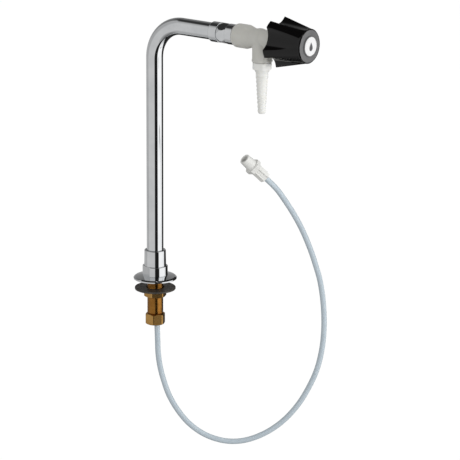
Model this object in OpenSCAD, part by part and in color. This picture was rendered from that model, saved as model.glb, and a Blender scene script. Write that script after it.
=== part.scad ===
// Deck-mounted laboratory gooseneck tap for purified water.
// Millimetres, +Z up. The origin is the middle of the flange's underside, where it meets the deck.
// The arm runs along +X and carries the valve, the hose nozzle and the knob.

/* [Base] */
// Diameter of the deck flange
flange_d = 49.4; // [40:0.2:60]
// Thickness of the deck flange at its rim
flange_t = 2.8; // [2.5:0.1:6]
// Rise of the flange's top from its rim to the collar
flange_rise = 1.5; // [0:0.1:4]
// Bevel on the flange's upper rim
flange_bevel = 1.4; // [0.5:0.1:2]
// Diameter of the base collar
collar_d = 28.8; // [28:0.2:36]
// Height of the base collar above the flange
collar_h = 11.3; // [9:0.1:20]
// Distance across the collar's two wrench flats
collar_flats = 25; // [24:0.5:27]
// Turn of the wrench flats from the arm's line, in degrees
collar_flats_turn = -15; // [-45:1:45]
// Outer diameter of the swivel sleeve at its foot
sleeve_d = 25.2; // [24.6:0.1:27]
// Outer diameter of the swivel sleeve at its top
sleeve_top_d = 24.4; // [24:0.1:26]
// Height of the swivel sleeve
sleeve_h = 18.3; // [15:0.1:26]

/* [Deck shank] */
// Diameter of the threaded shank
shank_d = 18.3; // [16:0.1:18.4]
// Bore of the shank
shank_bore_d = 12; // [9:0.1:13]
// Length of the shank under the deck face
shank_l = 41; // [36:0.5:70]
// Thickness of deck that the clamp is set for
deck_t = 10.4; // [3:0.1:14]
// Diameter of the clamp washer
washer_d = 46.6; // [36:0.2:60]
// Hole in the clamp washer
washer_hole_d = 20.6; // [19:0.1:22]
// Thickness of the clamp washer
washer_t = 2; // [1:0.1:3]
// Distance across the locknut's flats
locknut_flats = 23; // [22:0.5:30]
// Height of the locknut
locknut_h = 9; // [4:0.1:12]
// Distance across the gland's hexagon
gland_flats = 20.4; // [18:0.2:26]
// Height of the gland's hexagon
gland_h = 12.9; // [8:0.1:18]
// Bore of the gland
gland_bore_d = 11.2; // [8:0.1:11.6]
// Diameter of the gland's spigot inside the shank
gland_spigot_d = 14; // [12.4:0.1:15]
// Length of the gland's spigot inside the shank
gland_spigot_l = 8; // [4:0.5:12]
// Turn of the gland's hexagon, in degrees
gland_turn = -4; // [-30:1:30]
// Turn of the locknut's hexagon as it is set, in degrees
locknut_turn = -8; // [-30:1:30]

/* [Gooseneck] */
// Outer diameter of the gooseneck tube
neck_d = 19.05; // [16:0.05:19.2]
// Wall of the gooseneck tube
neck_wall = 1.2; // [0.8:0.1:2]
// Height of the arm's axis above the deck
arm_height = 296; // [200:1:420]
// Radius of the bend along the tube's axis
bend_r = 40; // [24:1:50]
// Length from the riser's axis to the end of the arm's tube
arm_l = 94.7; // [70:0.1:220]
// Outer diameter of the swivel ring on the foot of the riser
foot_ring_d = 21.4; // [21:0.1:22]
// Height of the swivel ring
foot_ring_h = 3.6; // [2:0.1:5]
// Thickness of the thrust washer under the swivel ring
thrust_t = 1.2; // [0.8:0.1:2]
// Thickness of the swivel seal's cord
swivel_seal_t = 1.7; // [1:0.1:2.2]

/* [Arm adapter] */
// Diameter of the adapter's socket ring
ring_d = 22.4; // [21.4:0.1:26]
// Depth of the socket that takes the arm's tube
socket_l = 11; // [6:0.5:16]
// Distance across the adapter's hexagon
adapter_flats = 21.4; // [20:0.1:26]
// Length of the adapter's hexagon
adapter_hex_l = 11.2; // [6:0.1:16]
// Turn of the adapter's hexagon about the arm, in degrees
adapter_turn = 10; // [-30:1:30]
// Diameter of the adapter's round end
adapter_end_d = 22.6; // [21:0.1:25]
// Length of the adapter's round end
adapter_end_l = 9.3; // [4:0.1:20]
// Diameter of the adapter's spigot inside the valve
adapter_spigot_d = 18; // [14:0.5:20]
// Length of the adapter's spigot inside the valve
adapter_spigot_l = 9.7; // [8:0.1:12]

/* [Valve body] */
// Diameter of the valve's inlet hub
hub_d = 26.2; // [24:0.2:32]
// Length of the inlet hub
hub_l = 16.2; // [14:0.1:28]
// Rounding of the hub's face
hub_round = 3; // [0.5:0.1:3.5]
// Length of the sloping shoulder beyond the hub
shoulder_l = 8; // [3:0.5:10]
// Diameter of the valve chamber
chamber_d = 21; // [19:0.2:24]
// Bore of the valve chamber
chamber_bore_d = 15.2; // [14:0.1:16]
// Length of the chamber beyond the shoulder
chamber_l = 26; // [25:0.5:32]
// Diameter of the band round the chamber
band_d = 22.6; // [21.2:0.1:25]
// Length of the band round the chamber, with its slopes
band_l = 10; // [6:0.5:10]
// How far the middle of the band lies behind the outlet's axis
band_back = 2.9; // [0:0.1:4]
// Distance from the hub's face to the outlet's axis
outlet_offset = 35.1; // [32:0.1:38]
// Diameter of the outlet branch
branch_d = 21.8; // [20:0.2:26]
// Depth of the outlet branch under the arm's axis
branch_drop = 24.7; // [22:0.1:34]
// Diameter of the rim round the foot of the branch
branch_rim_d = 22.8; // [22:0.1:28]
// Height of that rim
branch_rim_h = 2.2; // [1:0.1:4]
// Bore of the outlet branch
outlet_bore_d = 9; // [6:0.1:11]
// Bore of the valve seat
seat_bore_d = 5; // [3:0.1:6]
// Width of the seat's lip
seat_lip_w = 1.4; // [0.8:0.1:2]
// Height of the seat's lip
seat_lip_h = 2; // [1:0.1:3]

/* [Hose nozzle] */
// Distance across the nozzle's hexagon
nozzle_flats = 20.6; // [18:0.2:24]
// Height of the nozzle's hexagon
nozzle_hex_h = 8; // [5:0.5:14]
// Turn of the nozzle's hexagon, in degrees
nozzle_turn = 10; // [0:1:60]
// Height of the cone between the hexagon and the barbs
nozzle_cone_h = 3.4; // [2:0.1:6]
// Diameter of the nozzle's neck above the barbs
nozzle_neck_d = 13.6; // [12:0.1:16]
// Length of that neck
nozzle_neck_l = 4; // [2:0.5:10]
// Number of barbs
barb_count = 9; // [5:1:12]
// Spacing of the barbs
barb_pitch = 4.6; // [3:0.1:6]
// Diameter over the first barb
barb_first_d = 14; // [11:0.1:15]
// Diameter over the last barb
barb_last_d = 8.9; // [7:0.1:10]
// Depth of each barb's shoulder
barb_depth = 0.8; // [0.2:0.05:1]
// Bore of the nozzle
nozzle_bore_d = 5; // [3:0.1:6]
// Diameter of the nozzle's spigot inside the branch
nozzle_spigot_d = 14; // [11:0.1:16]
// Length of the nozzle's spigot
nozzle_spigot_l = 8; // [5:0.5:9]
// Thickness of the nozzle's gasket
gasket_t = 0.6; // [0.4:0.1:1.5]

/* [Valve inside] */
// Diameter of the closing disc
disc_d = 11; // [9.4:0.1:12]
// Thickness of the closing disc
disc_t = 2.5; // [2:0.1:4]
// Wall of the cup that holds the closing disc
cup_wall = 0.9; // [0.6:0.1:1.2]
// Thickness of that cup's floor
cup_floor = 4.4; // [3.5:0.1:5]
// Diameter of the stem's tip inside the cup
stem_tip_d = 6; // [4:0.1:7]
// Diameter of the stem's thread
stem_thread_d = 10; // [9:0.1:12]
// Diameter of the plain stem
stem_d = 8; // [6:0.1:8.6]
// Diameter of the stem's end inside the knob
stem_end_d = 7; // [5:0.1:7.6]
// Length of the stem's end inside the knob
stem_end_l = 13; // [8:0.5:16]
// How far the stem rises when the tap is open
stem_lift = 3.75; // [2:0.25:5]
// Diameter of the bonnet's flange
bonnet_d = 20.8; // [19:0.1:24]
// Thickness of the bonnet's flange
bonnet_flange_t = 4.9; // [3:0.1:6]
// Length of the bonnet's spigot inside the body
bonnet_spigot_l = 8; // [6:0.5:8.5]
// Diameter of the bonnet's neck
bonnet_neck_d = 17.2; // [16:0.1:20]
// Length of the bonnet's neck
bonnet_neck_l = 12.6; // [12:0.1:16]
// Thickness of the bonnet seal's cord
bonnet_seal_t = 1.6; // [1:0.1:2]
// Diameter of the stem packing
packing_d = 12.8; // [11:0.1:13.4]
// Length of the stem packing
packing_l = 3; // [2:0.1:4]
// Distance across the packing nut's flats
packing_nut_flats = 14; // [13:0.5:17]
// Height of the packing nut's head
packing_nut_h = 3; // [2:0.1:5]

/* [Knob] */
// Length of the knob
knob_l = 42.5; // [40:0.1:60]
// Diameter over the lobes at the knob's rear
knob_rear_d = 56.4; // [48:0.2:70]
// Rounding of the knob's rear rim
knob_rim = 0.9; // [0.5:0.1:3]
// Diameter of the knob's round front
knob_front_d = 37.6; // [36:0.2:46]
// Bevel on the front's edge
front_bevel = 0.9; // [0.2:0.1:1]
// Wall between the index ring's seat and the ends of the lobes
brow_wall = 0.8; // [0.5:0.1:2]
// How far the lobes stand over the knob's round front where they end
lobe_step = 0.2; // [0.2:0.1:3]
// Turn of the lobes when the tap is shut, in degrees
knob_set = 2.5; // [-36:0.5:36]
// Number of lobes
lobe_count = 5; // [4:1:7]
// Diameter between the lobes at the knob's rear
valley_rear_d = 39.2; // [39:0.2:46]
// Radius of the hollows between the lobes
flute_r = 16.5; // [14:0.5:30]
// How far the hollows lie under the knob's round front where they end
flute_step = 1; // [0.4:0.1:1.2]
// Gap between the bonnet's flange and the knob's rear
knob_gap = 1; // [0.4:0.1:3]
// Diameter of the hollow inside the knob
knob_hollow_d = 32; // [26:0.2:33]
// Diameter of the knob's inner boss
boss_d = 15; // [11:0.2:18]
// Thickness of the web between the hollow and the screw well
web_t = 2.8; // [2:0.1:4]
// Diameter of the screw well
well_d = 20; // [9:0.5:24]
// Diameter of the index ring
index_d = 35.4; // [30:0.2:36]
// Thickness of the index ring
index_t = 2; // [2:0.1:4]
// How far the index ring lies under the knob's rim
index_sink = 0.2; // [0.2:0.1:2]
// Diameter of the index button
button_d = 20.8; // [14:0.2:26]
// Thickness of the index button
button_t = 2.9; // [2.5:0.1:7]
// Floor of the index ring under the button
button_floor = 1; // [0.6:0.1:1.8]
// Diameter of the knob screw
screw_d = 3; // [2:0.1:4]
// Diameter of the knob screw's head
screw_head_d = 6; // [4:0.1:8]
// Height of the knob screw's head
screw_head_h = 2.2; // [1.5:0.1:3]
// Length of the knob screw under its head
screw_l = 12; // [8:0.5:14]

/* [Water tube] */
// Outer diameter of the water tube
water_d = 6.35; // [4:0.05:6.4]
// Wall of the water tube
water_wall = 1; // [0.6:0.1:1.4]
// Depth of the tube's socket in the valve
water_socket_l = 6.5; // [4:0.5:8]
// Length of the ferrule round the tube
ferrule_l = 3.8; // [2:0.1:5]
// Diameter of the ferrule at its thick end
ferrule_d = 11.6; // [9:0.1:13]

/* [Inlet fitting] */
// Diameter of the inlet fitting's male thread
inlet_d = 13.6; // [10:0.1:21]
// Length of the male thread
inlet_l = 12.8; // [9:0.1:20]
// Bore at the mouth of the fitting
inlet_bore_d = 8.6; // [5:0.1:10]
// Distance across the fitting's hexagon
fitting_flats = 16.6; // [15:0.2:26]
// Thickness of the fitting's hexagon
fitting_hex_t = 5.2; // [3:0.1:8]
// Length of the winged nut
wing_nut_l = 17.5; // [14:0.5:26]
// Diameter of the winged nut's core
wing_core_d = 10.8; // [10.4:0.1:15]
// Span across the wings
wing_span = 13.2; // [13:0.2:24]
// Thickness of each wing
wing_t = 5.2; // [2:0.1:6]
// Diameter of the fitting's spigot inside the winged nut
fitting_spigot_d = 8.6; // [8.2:0.1:9.4]
// Length of that spigot
fitting_spigot_l = 9; // [6:0.5:9.5]
// Place where the tube enters the fitting
fitting_at = [119.6, 47.8, 127.9]; // [-200:0.1:300]
// Lean of the fitting from upright, in degrees
fitting_lean = 47; // [0:1:90]
// Compass turn of the fitting, in degrees
fitting_compass = -115; // [-180:1:180]
// Turn of the fitting's hexagon round its own axis, in degrees
fitting_turn = -14; // [-45:1:45]
// Turn of the winged nut round the same axis, in degrees
wing_turn = 31; // [-45:1:45]

/* [Fits] */
// Gap round parts that turn or screw in each other
run_gap = 0.05; // [0.02:0.01:0.1]
// Gap between faces of parts that move past each other
face_gap = 0.1; // [0.05:0.01:0.3]

/* [Hidden] */
$fn = 64;
cut = 1;                 // how far a cutting tool runs past a face
seam = 0.01;             // overlap where two shapes of one solid join
water_r = water_d / 2;
neck_r = neck_d / 2;
lining_gap = 0.6;        // space round the lining tube in the adapter
ferrule_edge = 0.6;      // straight edge at the ferrule's thick end
ferrule_nose = 0.5;      // wall left at the ferrule's thin end
swivel_r = neck_r + run_gap;

// Heights at the base
flange_top = flange_t + flange_rise;
collar_top = flange_top + collar_h;
sleeve_top = collar_top + sleeve_h;
spigot_h = 5.2;          // height of the collar's spigot inside the sleeve
spigot_top = collar_top + spigot_h;
thrust_top = spigot_top + thrust_t;
ring_base = thrust_top + face_gap;
ring_top = ring_base + foot_ring_h;
ledge_t = 1;             // ledge in the collar between the shank and the riser
riser_depth = 2;         // how far the riser's foot reaches under the collar's top
foot_gap = 0.3;          // gap under the riser's foot
seal_land = 0.8;         // metal between the foot ring's space and the seal's groove
shank_top = collar_top - ledge_t - riser_depth;
riser_foot = shank_top + ledge_t + foot_gap;
washer_top = -deck_t;
locknut_top = washer_top - washer_t;
gland_top = -shank_l;
seal_z = ring_top + face_gap + seal_land + swivel_seal_t / 2;

// Places along the arm
ring_x = arm_l - socket_l;
groove_w = 0.6;          // fine groove between the adapter's ring and hexagon
hex_x = arm_l + groove_w;
end_x = hex_x + adapter_hex_l;
hub_x = end_x + adapter_end_l;
shoulder_x = hub_x + hub_l;
chamber_x = shoulder_x + shoulder_l;
body_end = chamber_x + chamber_l;
outlet_x = hub_x + outlet_offset;
ferrule_x = hub_x + adapter_spigot_l + face_gap;
water_end = ferrule_x + water_socket_l;
seat_wall = 6.4;         // length from the tube's end to the face of the seat
seat_x = water_end + seat_wall;
disc_x = seat_x + face_gap;
cup_pocket = disc_t / 2; // the disc stands half out of its cup
cup_x = disc_x + disc_t - cup_pocket;
cup_web = 1.4;           // wall of the cup between the disc and the stem's tip
tip_x = disc_x + disc_t + cup_web;
cup_end = disc_x + disc_t + cup_floor;
cup_r = disc_d / 2 + cup_wall;
bonnet_x = body_end - bonnet_spigot_l;
seal_wall = 1.5;         // wall of the bonnet's spigot in front of its seal
neck_x = body_end + bonnet_flange_t;
neck_end = neck_x + bonnet_neck_l;
nut_spigot_l = 3;        // packing nut's spigot inside the bonnet
packing_end = neck_end - nut_spigot_l;
packing_x = packing_end - packing_l;
thread_stop = 1;         // wall of the bonnet between the stem's thread and the packing
thread_x = bonnet_x - thread_stop;
thread_end = packing_x - stem_lift - 2 * thread_stop;
knob_x = neck_x + knob_gap;
front_x = knob_x + knob_l;
index_x = front_x - index_sink - index_t;
brow_l = index_sink + index_t + brow_wall;
head_gap = 0.4;          // space over the knob screw's head
screw_gap = 0.4;         // clearance hole for the screw in the knob's web
end_gap = 0.2;           // space between the stem's end and the knob's web
well_floor = index_x - screw_head_h - head_gap;
stem_end = well_floor - web_t - end_gap;
shoulder_stem = stem_end - stem_end_l;

// Nozzle heights, measured down from the arm's axis
gasket_bottom = branch_drop + gasket_t;
nozzle_hex_bottom = gasket_bottom + nozzle_hex_h;
nozzle_neck_top = nozzle_hex_bottom + nozzle_cone_h;
barb_top = nozzle_neck_top + nozzle_neck_l;
nozzle_tip = barb_top + barb_count * barb_pitch;
socket_gap = 1;          // space over the nozzle's spigot
nozzle_socket_l = nozzle_spigot_l + socket_gap;

// Fitting, measured from the tube's entry towards the thread
fitting_hex_z = wing_nut_l;
inlet_z = fitting_hex_z + fitting_hex_t;
inlet_end = inlet_z + inlet_l;
fitting_spigot_z = wing_nut_l - fitting_spigot_l;
tube_hold = 7;           // length of tube inside the fitting's spigot
tube_stop = fitting_spigot_z + tube_hold;
fitting_axis = [
    sin(fitting_lean) * cos(fitting_compass),
    sin(fitting_lean) * sin(fitting_compass),
    cos(fitting_lean)
];

// Route of the free tube from inside the shank to the fitting
tube_start = -30;
lining_clear = 0.3;      // gap between the supply tube's end and the lining tube
loop_turn = 40;          // turn of the loop's upright plane from the arm's line, in degrees
route = [
    [0, 0, tube_start], [0, 0, -37], [0.6, 0.5, -45], [1.4, 1.2, -54], [1.7, 1.5, -64],
    [2, 1.7, -76], [2.4, 2, -90], [4.2, 3.5, -107], [7.5, 6.3, -124], [12, 10, -141],
    [19, 16, -158], [29, 24, -174.5], [42, 35, -188], [57, 47.5, -196], [72, 60, -198],
    [87, 72.5, -194], [102, 85, -184.5], [115.5, 96.3, -170.5], [127, 106, -152.5], [136, 113.5, -132],
    [143, 119.3, -110], [147.3, 122.8, -84], [148.6, 124, -57], [147.6, 123, -30], [145, 120.2, -5],
    [141.7, 115.5, 15], [138, 108.5, 37], [133.7, 97.5, 62], [129.5, 85.5, 83], [125.5, 71.5, 103],
    [123, 62, 114.5]
];

function hex_r(flats) = flats / sqrt(3);

// Puts its children on the arm's axis at x, with their own Z along the arm
module on_arm(x) {
    translate([x, 0, arm_height])
        rotate([0, 90, 0])
            children();
}

// Puts its children on the outlet's axis, down from the arm's axis
module under_outlet(drop) {
    translate([outlet_x, 0, arm_height - drop])
        children();
}

// Puts its children on the fitting's axis, with their own Z towards the thread
module on_fitting(z) {
    translate(fitting_at)
        rotate([0, fitting_lean, fitting_compass])
            translate([0, 0, z])
                children();
}

// Ring with a true bore
module ring(outer_r, inner_r, h) {
    difference() {
        cylinder(r = outer_r, h = h);
        translate([0, 0, -cut])
            cylinder(r = inner_r, h = h + 2 * cut);
    }
}

// Hexagon with its corners turned down at the foot and at the top
module chamfered_hex(flats, h, foot = 0, top = 0, slope = 0.5) {
    corner = hex_r(flats);
    intersection() {
        cylinder(r = corner, h = h, $fn = 6);
        rotate_extrude()
            polygon([
                [0, 0], [corner - foot, 0], [corner, foot * slope],
                [corner, h - top * slope], [corner - top, h], [0, h]
            ]);
    }
}

// Round cord of a seal
module seal_ring(inner_r, t) {
    rotate_extrude()
        translate([inner_r + t / 2, 0])
            circle(d = t, $fn = 32);
}

// Plug that follows the gooseneck's axis from the foot to the end of the arm
module neck_path(r, foot, end) {
    translate([0, 0, foot])
        cylinder(r = r, h = arm_height - bend_r - foot);
    translate([bend_r, 0, arm_height - bend_r])
        rotate([90, 0, 0])
            rotate_extrude(angle = 90, start = 90)
                translate([bend_r, 0])
                    circle(r = r);
    on_arm(bend_r)
        cylinder(r = r, h = end - bend_r);
}

// Hose or tube swept along points, round in section
function turned(v) = v / norm(v);
function tangent(p, i) = turned(p[min(i + 1, len(p) - 1)] - p[max(i - 1, 0)]);
function blend(a, b, c, d, t) =
    0.5 * (2 * b + (c - a) * t + (2 * a - 5 * b + 4 * c - d) * t * t
        + (3 * b - a - 3 * c + d) * t * t * t);
function smooth(p) = concat(
    [for (i = [0 : len(p) - 2], t = [0, 0.5])
        t == 0 ? p[i]
            : blend(p[max(i - 1, 0)], p[i], p[i + 1], p[min(i + 2, len(p) - 1)], t)],
    [p[len(p) - 1]]);

module swept_tube(points, r, sides, facing) {
    rings = len(points);
    corners = [
        for (i = [0 : rings - 1])
            let (
                along = tangent(points, i),
                side = turned(cross(along, facing)),
                out = cross(side, along)
            )
            for (k = [0 : sides - 1])
                points[i] + r * (cos(360 * k / sides) * side + sin(360 * k / sides) * out)
    ];
    walls = [
        for (i = [0 : rings - 2], k = [0 : sides - 1])
            let (
                a = i * sides + k,
                b = i * sides + (k + 1) % sides
            )
            each [[a, b, b + sides], [a, b + sides, a + sides]]
    ];
    foot = [for (k = [1 : sides - 2]) [0, k + 1, k]];
    last = (rings - 1) * sides;
    top = [for (k = [1 : sides - 2]) [last, last + k, last + k + 1]];
    polyhedron(points = corners, faces = concat(walls, foot, top));
}

// Base

module base_flange() {
    r = flange_d / 2;
    foot_bevel = 0.5;
    seat_edge = 0.4;
    color("gainsboro")
        difference() {
            rotate_extrude()
                polygon([
                    [0, 0], [r - foot_bevel, 0], [r, foot_bevel], [r, flange_t - flange_bevel],
                    [r - flange_bevel, flange_t], [collar_d / 2 + seat_edge, flange_top], [0, flange_top]
                ]);
            translate([0, 0, -cut])
                cylinder(d = shank_d + 2 * run_gap, h = flange_top + 2 * cut);
        }
}

module base_collar() {
    lip = 1.2;
    color("gainsboro")
        difference() {
            union() {
                difference() {
                    translate([0, 0, flange_top])
                        rotate_extrude()
                            polygon([
                                [0, 0], [collar_d / 2, 0], [collar_d / 2, collar_h - lip],
                                [collar_d / 2 - lip, collar_h], [0, collar_h]
                            ]);
                    rotate(collar_flats_turn)
                        for (side = [-1, 1])
                            translate([0, side * (collar_flats + collar_d) / 2, collar_top / 2])
                                cube([2 * collar_d, collar_d, collar_top + cut], center = true);
                }
                translate([0, 0, flange_top + collar_h / 2])
                    cylinder(r = foot_ring_d / 2 - run_gap, h = spigot_top - flange_top - collar_h / 2);
            }
            translate([0, 0, flange_top - cut])
                cylinder(d = shank_d + 2 * run_gap, h = shank_top - flange_top + cut);
            cylinder(d = shank_bore_d, h = collar_top);
            translate([0, 0, shank_top + ledge_t])
                cylinder(r = swivel_r, h = spigot_top);
        }
}

module swivel_sleeve() {
    mouth = 0.5;
    lip = 1.2;
    inside_r = foot_ring_d / 2 + run_gap;
    groove_r = neck_r + swivel_seal_t + run_gap;
    color("gainsboro")
        difference() {
            translate([0, 0, collar_top])
                rotate_extrude()
                    polygon([
                        [0, 0], [sleeve_d / 2, 0], [sleeve_top_d / 2, sleeve_h - lip],
                        [sleeve_top_d / 2 - lip, sleeve_h], [0, sleeve_h]
                    ]);
            translate([0, 0, collar_top - cut])
                cylinder(r = inside_r, h = ring_top + face_gap - collar_top + cut);
            translate([0, 0, collar_top])
                cylinder(r = swivel_r, h = sleeve_h + cut);
            translate([0, 0, seal_z - swivel_seal_t / 2 - run_gap])
                cylinder(r = groove_r, h = swivel_seal_t + 2 * run_gap);
            translate([0, 0, sleeve_top - mouth])
                cylinder(r1 = swivel_r, r2 = swivel_r + mouth + run_gap, h = mouth + seam);
        }
}

module thrust_washer() {
    color("ivory")
        translate([0, 0, spigot_top])
            ring(foot_ring_d / 2 - run_gap, swivel_r, thrust_t);
}

module swivel_seal() {
    color("dimgray")
        translate([0, 0, seal_z])
            seal_ring(neck_r + run_gap, swivel_seal_t - run_gap);
}

module mounting_shank() {
    color("darkgoldenrod")
        difference() {
            translate([0, 0, -shank_l])
                cylinder(d = shank_d, h = shank_l + shank_top);
            translate([0, 0, -shank_l - cut])
                cylinder(d = shank_bore_d, h = shank_l + shank_top + 2 * cut);
            translate([0, 0, -shank_l - cut])
                cylinder(d = gland_spigot_d + 2 * run_gap, h = gland_spigot_l + cut + face_gap);
        }
}

module inlet_gland() {
    color("darkgoldenrod")
        difference() {
            union() {
                translate([0, 0, gland_top - gland_h])
                    rotate(gland_turn)
                        chamfered_hex(gland_flats, gland_h, foot = 1.4, top = 2);
                translate([0, 0, gland_top - gland_h / 2])
                    cylinder(d = gland_spigot_d, h = gland_spigot_l + gland_h / 2);
            }
            translate([0, 0, gland_top - gland_h - cut])
                cylinder(d = gland_bore_d, h = gland_h + gland_spigot_l + 2 * cut);
        }
}

module clamp_washer() {
    color("dimgray")
        translate([0, 0, washer_top - washer_t])
            ring(washer_d / 2, washer_hole_d / 2, washer_t);
}

module locknut() {
    color("darkgoldenrod")
        translate([0, 0, locknut_top - locknut_h])
            difference() {
                rotate(locknut_turn)
                    chamfered_hex(locknut_flats, locknut_h, foot = 2, top = 1);
                translate([0, 0, -cut])
                    cylinder(d = shank_d + 2 * run_gap, h = locknut_h + 2 * cut);
            }
}

// Gooseneck

module gooseneck_tube() {
    color("gainsboro")
        difference() {
            neck_path(neck_r, riser_foot, arm_l);
            neck_path(neck_r - neck_wall, riser_foot - cut, arm_l + cut);
        }
}

module foot_ring() {
    color("goldenrod")
        translate([0, 0, ring_base])
            ring(foot_ring_d / 2, neck_r, foot_ring_h);
}

module arm_adapter() {
    lip = 0.6;
    crown_depth = 0.9;   // share of the corners that is turned away at both ends of the hexagon
    crown_reach = 0.48;  // share of the hexagon's length over which they are turned away
    crown = crown_depth * (hex_r(adapter_flats) - adapter_flats / 2);
    crown_slope = crown_reach * adapter_hex_l / crown;
    color("gainsboro")
        difference() {
            union() {
                on_arm(ring_x)
                    rotate_extrude()
                        polygon([
                            [0, 0], [ring_d / 2 - lip, 0], [ring_d / 2, lip], [ring_d / 2, socket_l],
                            [ring_d / 2 - groove_w, socket_l + groove_w], [0, socket_l + groove_w]
                        ]);
                on_arm(hex_x)
                    rotate(adapter_turn)
                        chamfered_hex(adapter_flats, adapter_hex_l, crown, crown, crown_slope);
                on_arm(end_x - seam)
                    cylinder(d = adapter_end_d, h = adapter_end_l + seam);
                on_arm(hub_x - seam)
                    cylinder(d = adapter_spigot_d, h = adapter_spigot_l + seam);
            }
            on_arm(ring_x - cut)
                cylinder(r = neck_r, h = socket_l + cut);
            on_arm(ring_x)
                cylinder(r = water_r + lining_gap, h = hub_x + adapter_spigot_l - ring_x + cut);
        }
}

module lining_tube() {
    color("aliceblue")
        difference() {
            neck_path(water_r, tube_start + lining_clear, water_end);
            neck_path(water_r - water_wall, tube_start - cut, water_end + cut);
        }
}

module lining_ferrule() {
    color("white")
        on_arm(ferrule_x)
            rotate_extrude()
                polygon([
                    [water_r, 0], [ferrule_d / 2, 0], [ferrule_d / 2, ferrule_edge],
                    [water_r + ferrule_nose, ferrule_l], [water_r, ferrule_l]
                ]);
}

// Valve

module valve_body() {
    face_steps = 6;
    slope_share = 0.35;
    band_slope = slope_share * band_l;
    hub_r = hub_d / 2;
    seat_r = seat_bore_d / 2;
    chamber_foot = seat_x - seat_lip_h;
    bore_r = chamber_bore_d / 2;
    ferrule_space = [
        [0, -cut], [ferrule_d / 2 + run_gap, -cut], [ferrule_d / 2 + run_gap, ferrule_edge],
        [water_r + ferrule_nose + run_gap, ferrule_l + run_gap], [0, ferrule_l + run_gap]
    ];
    hub_face = [
        for (i = [0 : face_steps])
            let (t = 90 * i / face_steps)
            [hub_r - hub_round * (1 - sin(t)), hub_round * (1 - cos(t))]
    ];
    color("whitesmoke")
        difference() {
            union() {
                on_arm(hub_x)
                    rotate_extrude()
                        polygon(concat([[0, 0]], hub_face, [
                            [hub_r, hub_l], [chamber_d / 2, hub_l + shoulder_l],
                            [chamber_d / 2, body_end - hub_x], [0, body_end - hub_x]
                        ]));
                on_arm(outlet_x - band_back - band_l / 2)
                    rotate_extrude()
                        polygon([
                            [0, 0], [chamber_d / 2 - seam, 0], [band_d / 2, band_slope],
                            [band_d / 2, band_l - band_slope], [chamber_d / 2 - seam, band_l],
                            [0, band_l]
                        ]);
                under_outlet(branch_drop)
                    cylinder(d = branch_d, h = branch_drop);
                under_outlet(branch_drop)
                    cylinder(d = branch_rim_d, h = branch_rim_h);
            }
            on_arm(hub_x - cut)
                cylinder(d = adapter_spigot_d + 2 * run_gap, h = adapter_spigot_l + face_gap + cut);
            on_arm(ferrule_x)
                rotate_extrude()
                    polygon(ferrule_space);
            on_arm(ferrule_x)
                cylinder(r = water_r + run_gap, h = water_socket_l);
            on_arm(water_end - cut)
                cylinder(r = seat_r, h = body_end - water_end);
            on_arm(chamber_foot)
                ring(bore_r, seat_r + seat_lip_w, seat_lip_h + seam);
            on_arm(seat_x)
                cylinder(r = bore_r, h = body_end - seat_x + cut);
            under_outlet(branch_drop + cut)
                cylinder(d = outlet_bore_d, h = branch_drop + cut);
            under_outlet(branch_drop + cut)
                cylinder(d = nozzle_spigot_d + 2 * run_gap, h = nozzle_socket_l + cut);
        }
}

module hose_nozzle() {
    step = (barb_first_d - barb_last_d) / 2 / (barb_count - 1);
    tip_round = 0.4;
    lead = 1;
    hex_foot = 2.6;
    cone_step = 0.5;
    cone_r = hex_r(nozzle_flats) - hex_foot - cone_step;
    barbs = [
        for (i = [0 : barb_count - 1])
            let (
                crest = barb_first_d / 2 - i * step,
                z = -i * barb_pitch
            )
            each [[crest - barb_depth, z], [crest, z - lead]]
    ];
    tip_r = barb_last_d / 2 - barb_depth - step;
    length = nozzle_tip - barb_top;
    color("white")
        difference() {
            union() {
                under_outlet(gasket_bottom)
                    cylinder(d = nozzle_spigot_d, h = gasket_t + nozzle_spigot_l);
                under_outlet(nozzle_hex_bottom)
                    rotate(nozzle_turn)
                        chamfered_hex(nozzle_flats, nozzle_hex_h, foot = hex_foot);
                under_outlet(nozzle_neck_top)
                    cylinder(r1 = nozzle_neck_d / 2, r2 = cone_r, h = nozzle_cone_h + seam);
                under_outlet(barb_top)
                    rotate_extrude()
                        polygon(concat(
                            [[0, nozzle_neck_l + seam], [nozzle_neck_d / 2, nozzle_neck_l + seam],
                                [nozzle_neck_d / 2, nozzle_neck_l - lead]],
                            barbs,
                            [[tip_r, tip_round - length], [tip_r - tip_round, -length], [0, -length]]
                        ));
            }
            under_outlet(nozzle_tip + cut)
                cylinder(d = nozzle_bore_d, h = nozzle_tip + cut);
        }
}

module nozzle_gasket() {
    edge_gap = 0.7;
    color("dimgray")
        under_outlet(gasket_bottom)
            ring(nozzle_flats / 2 - edge_gap, nozzle_spigot_d / 2 + run_gap, gasket_t);
}

module bonnet() {
    spigot_r = chamber_bore_d / 2 - run_gap;
    seal_groove = bonnet_seal_t + 2 * run_gap;
    color("whitesmoke")
        difference() {
            union() {
                on_arm(bonnet_x)
                    cylinder(r = spigot_r, h = bonnet_spigot_l + seam);
                on_arm(body_end)
                    cylinder(d = bonnet_d, h = bonnet_flange_t);
                on_arm(neck_x - seam)
                    cylinder(d = bonnet_neck_d, h = bonnet_neck_l + seam);
            }
            on_arm(bonnet_x - cut)
                cylinder(d = stem_thread_d + 2 * run_gap, h = packing_x - thread_stop - bonnet_x + cut);
            on_arm(bonnet_x)
                cylinder(d = stem_d + 2 * run_gap, h = neck_end - bonnet_x + cut);
            on_arm(packing_x)
                cylinder(d = packing_d + 2 * run_gap, h = neck_end - packing_x + cut);
            on_arm(bonnet_x + seal_wall)
                ring(spigot_r + cut, spigot_r - bonnet_seal_t, seal_groove);
        }
}

module bonnet_seal() {
    color("dimgray")
        on_arm(bonnet_x + seal_wall + run_gap + bonnet_seal_t / 2)
            seal_ring(chamber_bore_d / 2 - run_gap - bonnet_seal_t, bonnet_seal_t);
}

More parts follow.
